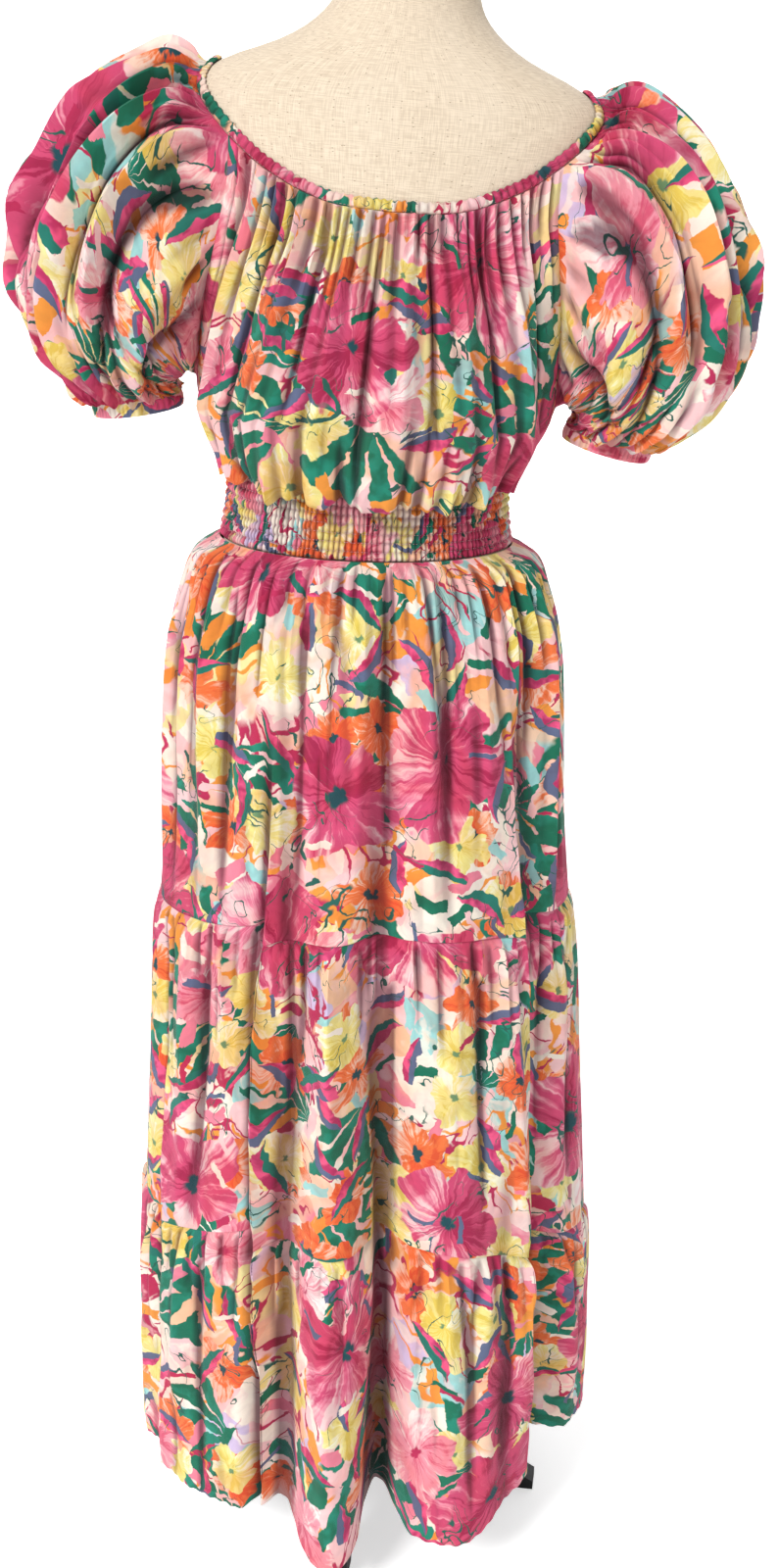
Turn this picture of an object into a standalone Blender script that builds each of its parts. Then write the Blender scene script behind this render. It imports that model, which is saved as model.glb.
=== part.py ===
"""Tiered dress with puff sleeves, worn on a limbless linen dress form.

The front faces -Y and the viewer's right is +X. Angles run round the upright axis from 0 at the
front, through +90 degrees at +X, to 180 degrees at the back. Lengths are in metres and the floor
is at height 0. Left and right name the wearer's sides, so the left sleeve is at +X.
"""

import math
from collections import namedtuple

import bpy
from mathutils import Matrix, Vector

# Cloth and seams.
CLOTH = 0.0015
SEAM_GAP = 0.0003
FRONT = 0.0
BACK = math.pi

# Levels.
WAIST_TOP = 1.140
WAIST_BOTTOM = 1.075
UNDERARM = 1.200

# Columns of points across each panel.
TIER_COLUMNS = 40
BODICE_COLUMNS = 28
SHOULDER_COLUMNS = 20
RAGLAN_ROWS = 6
FORM_COLUMNS = 32
WAIST_PLEATS = 60

# The form leans on its pole: how far sideways and down per metre, and where the lean fades in.
LEAN = 0.080
LEAN_FROM = 1.000
LEAN_FULL = 1.200

# The dress form: half-width, and depth in front of and behind the axis, at each height.
Section = namedtuple("Section", "height half_width front back")
FORM_SECTIONS = (
    Section(0.800, 0.150, 0.106, 0.112),
    Section(0.812, 0.161, 0.115, 0.122),
    Section(0.870, 0.168, 0.119, 0.129),
    Section(0.930, 0.165, 0.115, 0.126),
    Section(1.000, 0.151, 0.105, 0.113),
    Section(1.060, 0.137, 0.097, 0.101),
    Section(1.120, 0.128, 0.093, 0.094),
    Section(1.180, 0.132, 0.101, 0.095),
    Section(1.240, 0.143, 0.117, 0.101),
    Section(1.290, 0.150, 0.127, 0.106),
    Section(1.340, 0.155, 0.119, 0.111),
    Section(1.395, 0.166, 0.104, 0.108),
    Section(1.440, 0.181, 0.089, 0.096),
    Section(1.466, 0.183, 0.078, 0.083),
    Section(1.482, 0.170, 0.070, 0.075),
    Section(1.496, 0.144, 0.065, 0.069),
    Section(1.508, 0.114, 0.061, 0.065),
    Section(1.524, 0.087, 0.058, 0.062),
    Section(1.545, 0.067, 0.056, 0.060),
    Section(1.570, 0.060, 0.055, 0.058),
    Section(1.600, 0.057, 0.054, 0.056),
    Section(1.612, 0.052, 0.049, 0.051),
)

# The skirt before its folds are added.
SKIRT_SECTIONS = (
    Section(1.075, 0.139, 0.101, 0.104),
    Section(1.062, 0.158, 0.112, 0.117),
    Section(1.035, 0.170, 0.126, 0.132),
    Section(0.980, 0.184, 0.143, 0.150),
    Section(0.900, 0.193, 0.151, 0.160),
    Section(0.800, 0.198, 0.156, 0.164),
    Section(0.700, 0.206, 0.164, 0.170),
    Section(0.580, 0.215, 0.173, 0.178),
    Section(0.460, 0.223, 0.181, 0.186),
    Section(0.340, 0.230, 0.188, 0.193),
    Section(0.200, 0.239, 0.195, 0.200),
    Section(0.000, 0.243, 0.199, 0.204),
)

# Seams round the skirt: the height at the front, at each side and at the back.
Seam = namedtuple("Seam", "front viewer_left viewer_right back")
SEAMS = (
    Seam(1.075, 1.075, 1.075, 1.075),
    Seam(0.729, 0.714, 0.714, 0.722),
    Seam(0.412, 0.372, 0.345, 0.392),
    Seam(0.074, 0.088, 0.127, 0.086),
)

# The rows of a tier: how far down it, its puff below the seam, and its share of the gathers.
TierRow = namedtuple("TierRow", "down puff gather")
TIER_ROWS = (
    TierRow(0.00, 0.000, 0.00),
    TierRow(0.05, 0.004, 1.00),
    TierRow(0.22, 0.005, 0.90),
    TierRow(0.48, 0.002, 0.55),
    TierRow(0.76, 0.001, 0.35),
    TierRow(1.00, 0.000, 0.00),
)
LAST_ROW_GATHER = 0.45
TIER_GATHERS = (0.0030, 0.0042, 0.0046)

# The largest folds: where each runs, its half-width, the height it starts at, its depth at the hem.
Fold = namedtuple("Fold", "angle half_width start depth")
FOLDS = (
    Fold(-7, 10, 1.00, 0.034),
    Fold(5, 8, 0.90, -0.052),
    Fold(24, 17, 1.00, 0.030),
    Fold(-22, 10, 1.00, -0.042),
    Fold(-43, 13, 0.80, 0.003),
    Fold(-66, 11, 0.70, -0.007),
    Fold(53, 15, 1.00, -0.036),
    Fold(77, 11, 0.66, 0.006),
    Fold(104, 13, 0.78, -0.014),
    Fold(126, 12, 0.94, 0.022),
    Fold(147, 12, 0.98, -0.030),
    Fold(168, 12, 1.00, 0.030),
    Fold(188, 10, 0.94, -0.030),
    Fold(208, 13, 0.98, 0.028),
    Fold(232, 13, 0.90, -0.024),
    Fold(253, 11, 0.76, 0.012),
)
HEM_DIP = 0.55

# The bodice below the underarm, which droops over the waistband: height and ease over the form.
BodiceRow = namedtuple("BodiceRow", "height ease gather")
BODICE_ROWS = (
    BodiceRow(1.1400, 0.0052, 0.0),
    BodiceRow(1.1290, 0.0110, 0.6),
    BodiceRow(1.1330, 0.0180, 1.0),
    BodiceRow(1.1580, 0.0220, 0.8),
    BodiceRow(UNDERARM, 0.0210, 0.6),
)
BODICE_TOP_EASE = (0.0205, 0.0185, 0.0160, 0.0125, 0.0075, 0.0025)
BODICE_TOP_GATHER = (0.5, 0.5, 0.6, 0.9, 1.2, 0.0)
BODICE_GATHER = 0.0042
BUST_EASE = 0.55

# The gathered neckline: its height on the form all the way round, as for a seam.
NeckRow = namedtuple("NeckRow", "angle height")
NECK_ROWS = (
    NeckRow(0, 1.386),
    NeckRow(20, 1.390),
    NeckRow(40, 1.411),
    NeckRow(52, 1.433),
    NeckRow(65, 1.458),
    NeckRow(78, 1.478),
    NeckRow(90, 1.486),
    NeckRow(102, 1.483),
    NeckRow(115, 1.470),
    NeckRow(128, 1.450),
    NeckRow(140, 1.434),
    NeckRow(160, 1.415),
    NeckRow(180, 1.409),
)
FRONT_CORNER = math.radians(52)
BACK_CORNER = math.radians(128)
CASING_HALF_WIDTH = 0.005
CASING_CLEARANCE = 0.0009
CASING_THICKNESS = 0.0022
CASING_RIPPLE = 0.0010

# The sleeve: rings in planes that fan out about a line at the underarm, up to down.
SLEEVE_HINGE = (0.165, 1.200)
SleeveRing = namedtuple("SleeveRing", "fan near far half_depth fold")
SLEEVE_RINGS = (
    SleeveRing(81, 0.014, 0.293, 0.082, 0.0040),
    SleeveRing(68, 0.018, 0.272, 0.096, 0.0060),
    SleeveRing(54, 0.020, 0.236, 0.102, 0.0070),
    SleeveRing(40, 0.020, 0.208, 0.100, 0.0070),
    SleeveRing(26, 0.020, 0.180, 0.093, 0.0060),
    SleeveRing(12, 0.019, 0.149, 0.081, 0.0045),
    SleeveRing(-1, 0.017, 0.117, 0.064, 0.0030),
    SleeveRing(-11, 0.014, 0.098, 0.045, 0.0000),
)
CUFF_HEIGHT = 0.012
CUFF_THICKNESS = 0.0025

# The smocked waistband, raised between its elastic rows.
WAIST_CLEARANCE = 0.0006
PLEAT_DEPTH = 0.0032
WAIST_LEVELS = (0.35, 1.00, 0.45, 1.00, 0.45, 0.35)

# The stand.
POLE_RADIUS = 0.014
FLANGE_RADIUS = 0.045
FLANGE_THICKNESS = 0.008
HUB_RADIUS = 0.030
HUB_TOP = 0.215
HUB_BOTTOM = 0.150
LEG_ANGLES = (82, 172, 262, 352)
LEG_WIDTH = 0.026
FOOT_REACH = 0.195
FOOT_LENGTH = 0.040
FOOT_HEIGHT = 0.016


def clear_scene():
    """Remove what the file opens with."""
    for thing in list(bpy.data.objects):
        bpy.data.objects.remove(thing, do_unlink=True)


def leaned(point):
    """Where a point goes when the form, and what it wears, leans towards the viewer's right."""
    span = LEAN_FULL - LEAN_FROM
    share = min(1.0, max(0.0, (point.z - LEAN_FROM) / span))
    lean = LEAN * share * share * (3 - 2 * share)
    shift = LEAN * (span * share ** 3 * (1 - share / 2) + max(0.0, point.z - LEAN_FULL))
    return Vector((point.x + shift, point.y, point.z - point.x * lean))


def material(name, colour, roughness, metallic=0.0):
    """A plain surface of one colour."""
    surface = bpy.data.materials.new(name)
    surface.use_nodes = True
    shader = surface.node_tree.nodes["Principled BSDF"]
    shader.inputs["Base Color"].default_value = (*colour, 1.0)
    shader.inputs["Roughness"].default_value = roughness
    shader.inputs["Metallic"].default_value = metallic
    return surface


def curve_through(xs, ys, x):
    """A smooth curve through the points xs, ys, read at x. The xs rise."""
    if x <= xs[0]:
        return ys[0]
    if x >= xs[-1]:
        return ys[-1]
    k = max(i for i in range(len(xs) - 1) if xs[i] <= x)
    slopes = []
    for i in (k, k + 1):
        low = max(i - 1, 0)
        high = min(i + 1, len(xs) - 1)
        slopes.append((ys[high] - ys[low]) / (xs[high] - xs[low]))
    step = xs[k + 1] - xs[k]
    t = (x - xs[k]) / step
    start = (1 + 2 * t) * (1 - t) ** 2 * ys[k] + t * (1 - t) ** 2 * step * slopes[0]
    end = t * t * (3 - 2 * t) * ys[k + 1] + t * t * (t - 1) * step * slopes[1]
    return start + end


def section_at(sections, height):
    """Half-width, front depth and back depth of a table of sections at a height."""
    rows = sorted(sections)
    heights = [row.height for row in rows]
    return tuple(
        curve_through(heights, [getattr(row, column) for row in rows], height)
        for column in ("half_width", "front", "back")
    )


def point_on(sections, angle, height):
    """The point of a table of sections at an angle and a height."""
    half_width, front, back = section_at(sections, height)
    depth = front if math.cos(angle) > 0 else back
    return Vector((half_width * math.sin(angle), -depth * math.cos(angle), height))


def outward(sections, angle, height):
    """The level direction that points straight out of a section."""
    half_width, front, back = section_at(sections, height)
    depth = front if math.cos(angle) > 0 else back
    return Vector((math.sin(angle) / half_width, -math.cos(angle) / depth, 0.0)).normalized()


def form_normal(angle, height):
    """The direction that points straight out of the dress form's surface."""
    step = 0.004
    up = point_on(FORM_SECTIONS, angle, height + step) - point_on(FORM_SECTIONS, angle, height - step)
    along = point_on(FORM_SECTIONS, angle + 0.01, height) - point_on(FORM_SECTIONS, angle - 0.01, height)
    return along.cross(up).normalized()


def over_form(angle, height, ease):
    """A point that lies clear of the dress form by the ease."""
    return point_on(FORM_SECTIONS, angle, height) + form_normal(angle, height) * ease


def seam_height(seam, angle):
    """The height of a seam round the skirt."""
    middle = seam.front if math.cos(angle) > 0 else seam.back
    side = seam.viewer_right if math.sin(angle) > 0 else seam.viewer_left
    return middle * math.cos(angle) ** 2 + side * math.sin(angle) ** 2


def fold_depth(angle, height):
    """How far the largest folds push the skirt out or in."""
    total = 0.0
    for fold in FOLDS:
        turn = (math.degrees(angle) - fold.angle + 180) % 360 - 180
        if abs(turn) < fold.half_width and height < fold.start:
            fall = (fold.start - height) / fold.start
            total += fold.depth * math.cos(math.pi / 2 * turn / fold.half_width) ** 2 * fall ** 0.8
    return total


def gather(column, strength):
    """A wave of four columns, each one a little different."""
    wave = column // 4
    uneven = 0.75 + 0.25 * math.sin(2.4 * wave) + 0.15 * math.sin(5.1 * wave + 1.0)
    return strength * uneven * math.cos(math.pi / 2 * column)


def add_wall(name, outer, inner, surface, all_round=False):
    """One closed body between an outer and an inner grid of points, listed row by row."""
    rows = len(outer)
    columns = len(outer[0])
    points = [point for grid in (outer, inner) for row in grid for point in row]
    back = rows * columns

    def at(row, column, side=0):
        return side * back + row * columns + column % columns

    faces = []
    spans = columns if all_round else columns - 1
    for row in range(rows - 1):
        for c in range(spans):
            faces.append((at(row, c), at(row, c + 1), at(row + 1, c + 1), at(row + 1, c)))
            faces.append((at(row, c, 1), at(row + 1, c, 1), at(row + 1, c + 1, 1), at(row, c + 1, 1)))
    last = rows - 1
    for c in range(spans):
        faces.append((at(0, c + 1), at(0, c), at(0, c, 1), at(0, c + 1, 1)))
        faces.append((at(last, c), at(last, c + 1), at(last, c + 1, 1), at(last, c, 1)))
    if not all_round:
        end = columns - 1
        for row in range(rows - 1):
            faces.append((at(row, 0), at(row + 1, 0), at(row + 1, 0, 1), at(row, 0, 1)))
            faces.append((at(row + 1, end), at(row, end), at(row, end, 1), at(row + 1, end, 1)))
    return add_body(name, points, flipped(faces), surface)


def add_body(name, points, faces, surface, crease=50):
    """A named object from points and faces, shaded smooth but for its sharp edges."""
    mesh = bpy.data.meshes.new(name)
    mesh.from_pydata([tuple(leaned(Vector(point))) for point in points], [], faces)
    mesh.update()
    mesh.shade_smooth()
    mesh.set_sharp_from_angle(angle=math.radians(crease))
    mesh.materials.append(surface)
    body = bpy.data.objects.new(name, mesh)
    bpy.context.scene.collection.objects.link(body)
    return body


def grid_normals(grid, all_round=False):
    """The direction out of each point of a grid whose rows go down and columns turn to +X in front."""
    rows = len(grid)
    columns = len(grid[0])
    normals = []
    for r in range(rows):
        line = []
        for c in range(columns):
            down = grid[min(r + 1, rows - 1)][c] - grid[max(r - 1, 0)][c]
            before = (c - 1) % columns if all_round else max(c - 1, 0)
            after = (c + 1) % columns if all_round else min(c + 1, columns - 1)
            along = grid[r][after] - grid[r][before]
            line.append(down.cross(along).normalized())
        normals.append(line)
    return normals


def tier_angles(middle):
    """Angles of a skirt panel's columns, closer together in its middle."""
    angles = []
    for c in range(TIER_COLUMNS + 1):
        s = 2 * c / TIER_COLUMNS - 1
        angles.append(middle + math.pi / 2 * (0.8 * s + 0.2 * s ** 3))
    return angles


def open_side_seam(grid, middle):
    """Draw the two side edges of a panel back by half a seam gap."""
    shift = SEAM_GAP / 2 if middle == BACK else -SEAM_GAP / 2
    for row in grid:
        for point in (row[0], row[-1]):
            point.y = shift


def tier_grid(index, middle):
    """The outer points of one skirt panel, from its upper seam down to its lower edge."""
    upper, lower = SEAMS[index], SEAMS[index + 1]
    is_last = index == len(SEAMS) - 2
    angles = tier_angles(middle)
    grid = []
    for step in TIER_ROWS:
        line = []
        for c, angle in enumerate(angles):
            top = seam_height(upper, angle) - SEAM_GAP / 2
            bottom = seam_height(lower, angle) + SEAM_GAP / 2
            level = top + (bottom - top) * step.down
            folds = fold_depth(angle, level)
            share = LAST_ROW_GATHER if is_last and step.down == 1 else step.gather
            edge = min(1.0, c / 3, (TIER_COLUMNS - c) / 3)
            bulge = folds + step.puff + gather(c + 2 * index, share * TIER_GATHERS[index]) * edge
            point = point_on(SKIRT_SECTIONS, angle, level)
            point += outward(SKIRT_SECTIONS, angle, level) * bulge
            if is_last:
                point.z -= HEM_DIP * folds * step.down ** 2
            line.append(point)
        grid.append(line)
    return grid


def add_tier(index, middle, name, surface):
    """One panel of a tier of the skirt."""
    outer = tier_grid(index, middle)
    normals = grid_normals(outer)
    inner = []
    for r, row in enumerate(outer):
        line = []
        for point, normal in zip(row, normals[r]):
            flat = r in (0, len(outer) - 1)
            way = Vector((normal.x, normal.y, 0.0)).normalized() if flat else normal
            line.append(point - way * CLOTH)
        inner.append(line)
    open_side_seam(outer, middle)
    open_side_seam(inner, middle)
    add_wall(name, outer, inner, surface)


def neck_height(angle):
    """The height of the middle of the neckline casing."""
    turn = abs((math.degrees(angle) + 180) % 360 - 180)
    return curve_through([row.angle for row in NECK_ROWS], [row.height for row in NECK_ROWS], turn)


def neck_frame(angle):
    """The neckline's point on the form, the way out, and the way down off the casing."""
    here = point_on(FORM_SECTIONS, angle, neck_height(angle))
    step = 0.01
    after = point_on(FORM_SECTIONS, angle + step, neck_height(angle + step))
    before = point_on(FORM_SECTIONS, angle - step, neck_height(angle - step))
    out = form_normal(angle, neck_height(angle))
    down = (after - before).cross(out).normalized()
    if down.z > 0:
        down = -down
    return here, out, down


def neck_seam(angle, ease):
    """A point on the seam just below the casing, clear of the form by the ease."""
    here, out, down = neck_frame(angle)
    return here + down * (CASING_HALF_WIDTH + SEAM_GAP) + out * ease


def shoulder_angles(side):
    """Angles along the neckline from the front corner to the back corner of one sleeve."""
    turn = BACK_CORNER - FRONT_CORNER
    return [side * (FRONT_CORNER + turn * c / SHOULDER_COLUMNS) for c in range(SHOULDER_COLUMNS + 1)]


def bodice_spread(c):
    """Where a bodice column lies across its panel, from -1 to 1."""
    return 2 * c / BODICE_COLUMNS - 1


def bodice_neck_angle(middle, c):
    """The angle at which a bodice column meets the neckline."""
    corner = FRONT_CORNER if middle == FRONT else math.pi - BACK_CORNER
    return middle + corner * bodice_spread(c)


def bodice_pairs(middle):
    """Outer and inner points of a bodice panel, listed from its neckline down to the waist."""
    corner = FRONT_CORNER if middle == FRONT else math.pi - BACK_CORNER
    pairs = []
    for r, low in enumerate(BODICE_ROWS):
        line = []
        for c in range(BODICE_COLUMNS + 1):
            angle = middle + math.pi / 2 * bodice_spread(c)
            hang = 1.0 if r == 0 else 1.0 + BUST_EASE * math.cos(angle) ** 2
            ease = low.ease * hang + bodice_gather(c, low.gather)
            line.append((over_form(angle, low.height, ease), over_form(angle, low.height, ease - CLOTH)))
        pairs.append(line)
    for r in range(1, RAGLAN_ROWS + 1):
        rise = r / RAGLAN_ROWS
        line = []
        for c in range(BODICE_COLUMNS + 1):
            spread = math.pi / 2 + (corner - math.pi / 2) * rise ** 0.8
            angle = middle + spread * bodice_spread(c)
            top = neck_seam(bodice_neck_angle(middle, c), 0.0).z
            level = UNDERARM + (top - UNDERARM) * rise
            hang = 1.0 + BUST_EASE * math.cos(angle) ** 2 * (1 - rise)
            ease = BODICE_TOP_EASE[r - 1] * hang + bodice_gather(c, BODICE_TOP_GATHER[r - 1])
            if r == RAGLAN_ROWS:
                seam_angle = bodice_neck_angle(middle, c)
                line.append((neck_seam(seam_angle, ease), neck_seam(seam_angle, ease - CLOTH)))
            else:
                line.append((over_form(angle, level, ease), over_form(angle, level, ease - CLOTH)))
        pairs.append(line)
    return pairs[::-1]


def bodice_gather(c, share):
    """The gathers of the bodice, which fade out towards the raglan seams."""
    edge = min(1.0, c / 4, (BODICE_COLUMNS - c) / 4)
    return gather(c, share * BODICE_GATHER) * edge


def add_bodice(middle, name, surface):
    """The front or the back of the bodice."""
    pairs = bodice_pairs(middle)
    outer = [[pair[0] for pair in row] for row in pairs]
    inner = [[pair[1] for pair in row] for row in pairs]
    for grid in (outer, inner):
        open_side_seam(grid[RAGLAN_ROWS:], middle)
    add_wall(name, outer, inner, surface)


def raglan_pairs(middle, side):
    """The bodice's raglan edge on one side, from the underarm up, drawn back by the seam gap."""
    pairs = bodice_pairs(middle)
    edge = BODICE_COLUMNS if (side > 0) == (middle == FRONT) else 0
    beside = edge - 1 if edge else 1
    chosen = []
    for r in range(RAGLAN_ROWS, -1, -1):
        outer, inner = pairs[r][edge]
        away = (outer - pairs[r][beside][0]).normalized()
        if r == RAGLAN_ROWS:
            away = (pairs[r - 1][edge][0] - outer)
            away.y = 0.0
            away.normalize()
        chosen.append((outer + away * SEAM_GAP, inner + away * SEAM_GAP))
    return chosen


def sleeve_start(side):
    """The first ring of a sleeve: up the front raglan, over the shoulder and down the back."""
    front = raglan_pairs(FRONT, side)
    back = raglan_pairs(BACK, side)
    ease = BODICE_TOP_EASE[-1]
    over = [(neck_seam(a, ease), neck_seam(a, ease - CLOTH)) for a in shoulder_angles(side)[1:-1]]
    ring = front + over + back[::-1][:-1]
    for point in ring[0]:
        point.y = 0.0
    return ring


def sleeve_turns():
    """Where each column of the sleeve lies round its rings: at the seam, and evenly spaced."""
    corner = 60.0
    seam = [180 - (180 - corner) * k / RAGLAN_ROWS for k in range(RAGLAN_ROWS + 1)]
    seam += [corner - 2 * corner * k / SHOULDER_COLUMNS for k in range(1, SHOULDER_COLUMNS)]
    seam += [-corner - (180 - corner) * k / RAGLAN_ROWS for k in range(RAGLAN_ROWS)]
    even = [180 - 360 * k / len(seam) for k in range(len(seam))]
    return seam, even


def sleeve_ring(ring, index, side):
    """The outer points of one ring of a sleeve."""
    seam, even = sleeve_turns()
    share = min(1.0, index / 4) * 0.6
    fan = math.radians(ring.fan)
    reach = Vector((side * math.cos(fan), 0.0, math.sin(fan)))
    centre = Vector((side * SLEEVE_HINGE[0], 0.0, SLEEVE_HINGE[1])) + reach * (ring.near + ring.far) / 2
    half_length = (ring.far - ring.near) / 2
    points = []
    for k, (first, last) in enumerate(zip(seam, even)):
        turn = math.radians(first + (last - first) * share)
        crease = gather(k, ring.fold) * (0.55 + 0.45 * math.cos(turn))
        length = (half_length + crease) * math.cos(turn)
        depth = (ring.half_depth + crease) * math.sin(turn)
        points.append(centre + reach * length - Vector((0.0, depth, 0.0)))
    return points


def sleeve_grids(side):
    """Outer and inner points of a sleeve, from its seam down to its cuff."""
    start = sleeve_start(side)
    outer = [[pair[0] for pair in start]]
    outer += [sleeve_ring(ring, i, side) for i, ring in enumerate(SLEEVE_RINGS)]
    normals = grid_normals(outer, all_round=True)
    inner = [[pair[1] for pair in start]]
    for row, line in zip(outer[1:], normals[1:]):
        inner.append([point - normal * side * CLOTH for point, normal in zip(row, line)])
    fan = math.radians(SLEEVE_RINGS[-1].fan)
    down = Vector((side * math.sin(fan), 0.0, -math.cos(fan)))
    inner[-1] = [point - down * (point - edge).dot(down) for point, edge in zip(inner[-1], outer[-1])]
    return outer, inner, down


def add_sleeve(side, name, surface):
    """A puff sleeve, gathered onto the neckline and closed at its foot by the cuff."""
    outer, inner, _ = sleeve_grids(side)
    if side < 0:
        outer = [row[::-1] for row in outer]
        inner = [row[::-1] for row in inner]
    add_wall(name, outer, inner, surface, all_round=True)


def add_cuff(side, name, surface):
    """The narrow elastic cuff, made from the last ring of the sleeve."""
    outer, inner, down = sleeve_grids(side)
    first = outer[-1]
    middle = sum(first, Vector()) / len(first)
    rings = []
    for drop in (SEAM_GAP, CUFF_HEIGHT):
        rings.append([point + down * drop for point in first])
    inside = []
    for ring in rings:
        line = []
        for point, edge in zip(ring, first):
            line.append(point - (edge - middle).normalized() * CUFF_THICKNESS)
        inside.append(line)
    if side < 0:
        rings = [row[::-1] for row in rings]
        inside = [row[::-1] for row in inside]
    add_wall(name, rings, inside, surface, all_round=True)


def casing_angles():
    """Every angle at which a panel or a sleeve meets the neckline, once round."""
    front = [bodice_neck_angle(FRONT, c) for c in range(BODICE_COLUMNS + 1)]
    back = [bodice_neck_angle(BACK, c) for c in range(BODICE_COLUMNS + 1)]
    left = shoulder_angles(1)[1:-1]
    right = [2 * math.pi + angle for angle in shoulder_angles(-1)[1:-1]][::-1]
    return front + left + back + right


def add_casing(surface):
    """The elastic casing round the whole neckline."""
    rows = {"outer": [[], []], "inner": [[], []]}
    for c, angle in enumerate(casing_angles()):
        here, out, down = neck_frame(angle)
        ripple = CASING_RIPPLE if c % 4 < 2 else 0.0
        for r, shift in enumerate((-CASING_HALF_WIDTH, CASING_HALF_WIDTH)):
            edge = here + down * shift
            rows["inner"][r].append(edge + out * CASING_CLEARANCE)
            rows["outer"][r].append(edge + out * (CASING_CLEARANCE + CASING_THICKNESS + ripple))
    add_wall("neck_casing", rows["outer"], rows["inner"], surface, all_round=True)


def waist_levels():
    """The heights of the waistband's rows, which the form's own rows share."""
    rows = len(WAIST_LEVELS) - 1
    return [WAIST_TOP + (WAIST_BOTTOM - WAIST_TOP) * r / rows for r in range(rows + 1)]


def add_waistband(surface):
    """The smocked waistband: pleats raised on its outer side over a plain inside."""
    columns = 2 * WAIST_PLEATS
    outer, inner = [], []
    for rise, level in zip(WAIST_LEVELS, waist_levels()):
        outside, inside = [], []
        for c in range(columns):
            angle = 2 * math.pi * c / columns
            pleat = PLEAT_DEPTH * rise if c % 2 == 0 else 0.0
            outside.append(over_form_level(angle, level, WAIST_CLEARANCE + CLOTH + pleat))
            inside.append(over_form_level(angle, level, WAIST_CLEARANCE))
        outer.append(outside)
        inner.append(inside)
    add_wall("waistband", outer, inner, surface, all_round=True)


def over_form_level(angle, height, ease):
    """A point clear of the form by the ease, at exactly the height given."""
    return point_on(FORM_SECTIONS, angle, height) + outward(FORM_SECTIONS, angle, height) * ease


def add_form(surface):
    """The limbless dress form, closed at its neck and below its hips."""
    kept = {row.height for row in FORM_SECTIONS if not WAIST_BOTTOM < row.height < WAIST_TOP}
    levels = sorted(kept | set(waist_levels()), reverse=True)
    points = []
    for level in levels:
        for c in range(FORM_COLUMNS):
            points.append(point_on(FORM_SECTIONS, 2 * math.pi * c / FORM_COLUMNS, level))
    faces = []
    for r in range(len(levels) - 1):
        for c in range(FORM_COLUMNS):
            after = (c + 1) % FORM_COLUMNS
            here, below = r * FORM_COLUMNS, (r + 1) * FORM_COLUMNS
            faces.append((here + c, here + after, below + after, below + c))
    last = (len(levels) - 1) * FORM_COLUMNS
    faces.append(tuple(range(FORM_COLUMNS))[::-1])
    faces.append(tuple(range(last, last + FORM_COLUMNS)))
    add_body("form_torso", points, flipped(faces), surface)


def flipped(faces):
    """The same faces seen from their other side."""
    return [face[::-1] for face in faces]


def add_turned(name, profile, surface, sides=24):
    """A turned solid about the upright axis, from radius and height pairs listed top to bottom."""
    points = []
    for radius, height in profile:
        for c in range(sides):
            turn = 2 * math.pi * c / sides
            points.append((radius * math.cos(turn), radius * math.sin(turn), height))
    faces = []
    for r in range(len(profile) - 1):
        for c in range(sides):
            after = (c + 1) % sides
            faces.append((r * sides + c, (r + 1) * sides + c, (r + 1) * sides + after, r * sides + after))
    faces.append(tuple(range(sides)))
    last = (len(profile) - 1) * sides
    faces.append(tuple(range(last, last + sides))[::-1])
    return add_body(name, points, faces, surface, crease=35)


def add_pole(surface):
    """The stand's pole, with the flange that carries the form and the hub that carries the legs."""
    top = FORM_SECTIONS[0].height - SEAM_GAP
    profile = (
        (FLANGE_RADIUS, top),
        (FLANGE_RADIUS, top - FLANGE_THICKNESS),
        (POLE_RADIUS, top - 2 * FLANGE_THICKNESS),
        (POLE_RADIUS, HUB_TOP + 0.010),
        (HUB_RADIUS, HUB_TOP),
        (HUB_RADIUS, HUB_BOTTOM),
        (HUB_RADIUS - 0.008, HUB_BOTTOM - 0.008),
    )
    add_turned("stand_pole", profile, surface)


def add_leg(angle, name, surface):
    """One bowed leg, from the hub down to its flat foot."""
    along = Vector((math.sin(angle), -math.cos(angle), 0.0))
    across = Vector((math.cos(angle), math.sin(angle), 0.0)) * LEG_WIDTH / 2
    seat = HUB_RADIUS + SEAM_GAP
    heel = FOOT_REACH - FOOT_LENGTH
    path = (
        (seat, HUB_TOP - 0.006, seat, HUB_BOTTOM + 0.014),
        (0.070, 0.186, 0.058, 0.136),
        (0.120, 0.122, 0.100, 0.094),
        (0.160, 0.062, 0.136, 0.044),
        (FOOT_REACH - 0.010, FOOT_HEIGHT, heel, 0.0),
        (FOOT_REACH, FOOT_HEIGHT - 0.006, FOOT_REACH, 0.0),
    )
    points = []
    for upper_reach, upper_height, lower_reach, lower_height in path:
        upper = along * upper_reach + Vector((0.0, 0.0, upper_height))
        lower = along * lower_reach + Vector((0.0, 0.0, lower_height))
        points += [upper - across, upper + across, lower + across, lower - across]
    faces = []
    for r in range(len(path) - 1):
        for c in range(4):
            after = (c + 1) % 4
            faces.append((4 * r + c, 4 * r + after, 4 * r + 4 + after, 4 * r + 4 + c))
    faces.append((3, 2, 1, 0))
    last = 4 * (len(path) - 1)
    faces.append((last, last + 1, last + 2, last + 3))
    add_body(name, points, flipped(faces), surface, crease=35)


def stand_centred():
    """Move every piece alike, so that the middle of the whole thing's outline is over the origin."""
    bodies = [thing for thing in bpy.data.objects if thing.type == "MESH"]
    points = [vertex.co for body in bodies for vertex in body.data.vertices]
    shift = Vector((
        -(min(p.x for p in points) + max(p.x for p in points)) / 2,
        -(min(p.y for p in points) + max(p.y for p in points)) / 2,
        0.0,
    ))
    for body in bodies:
        body.data.transform(Matrix.Translation(shift))


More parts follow.
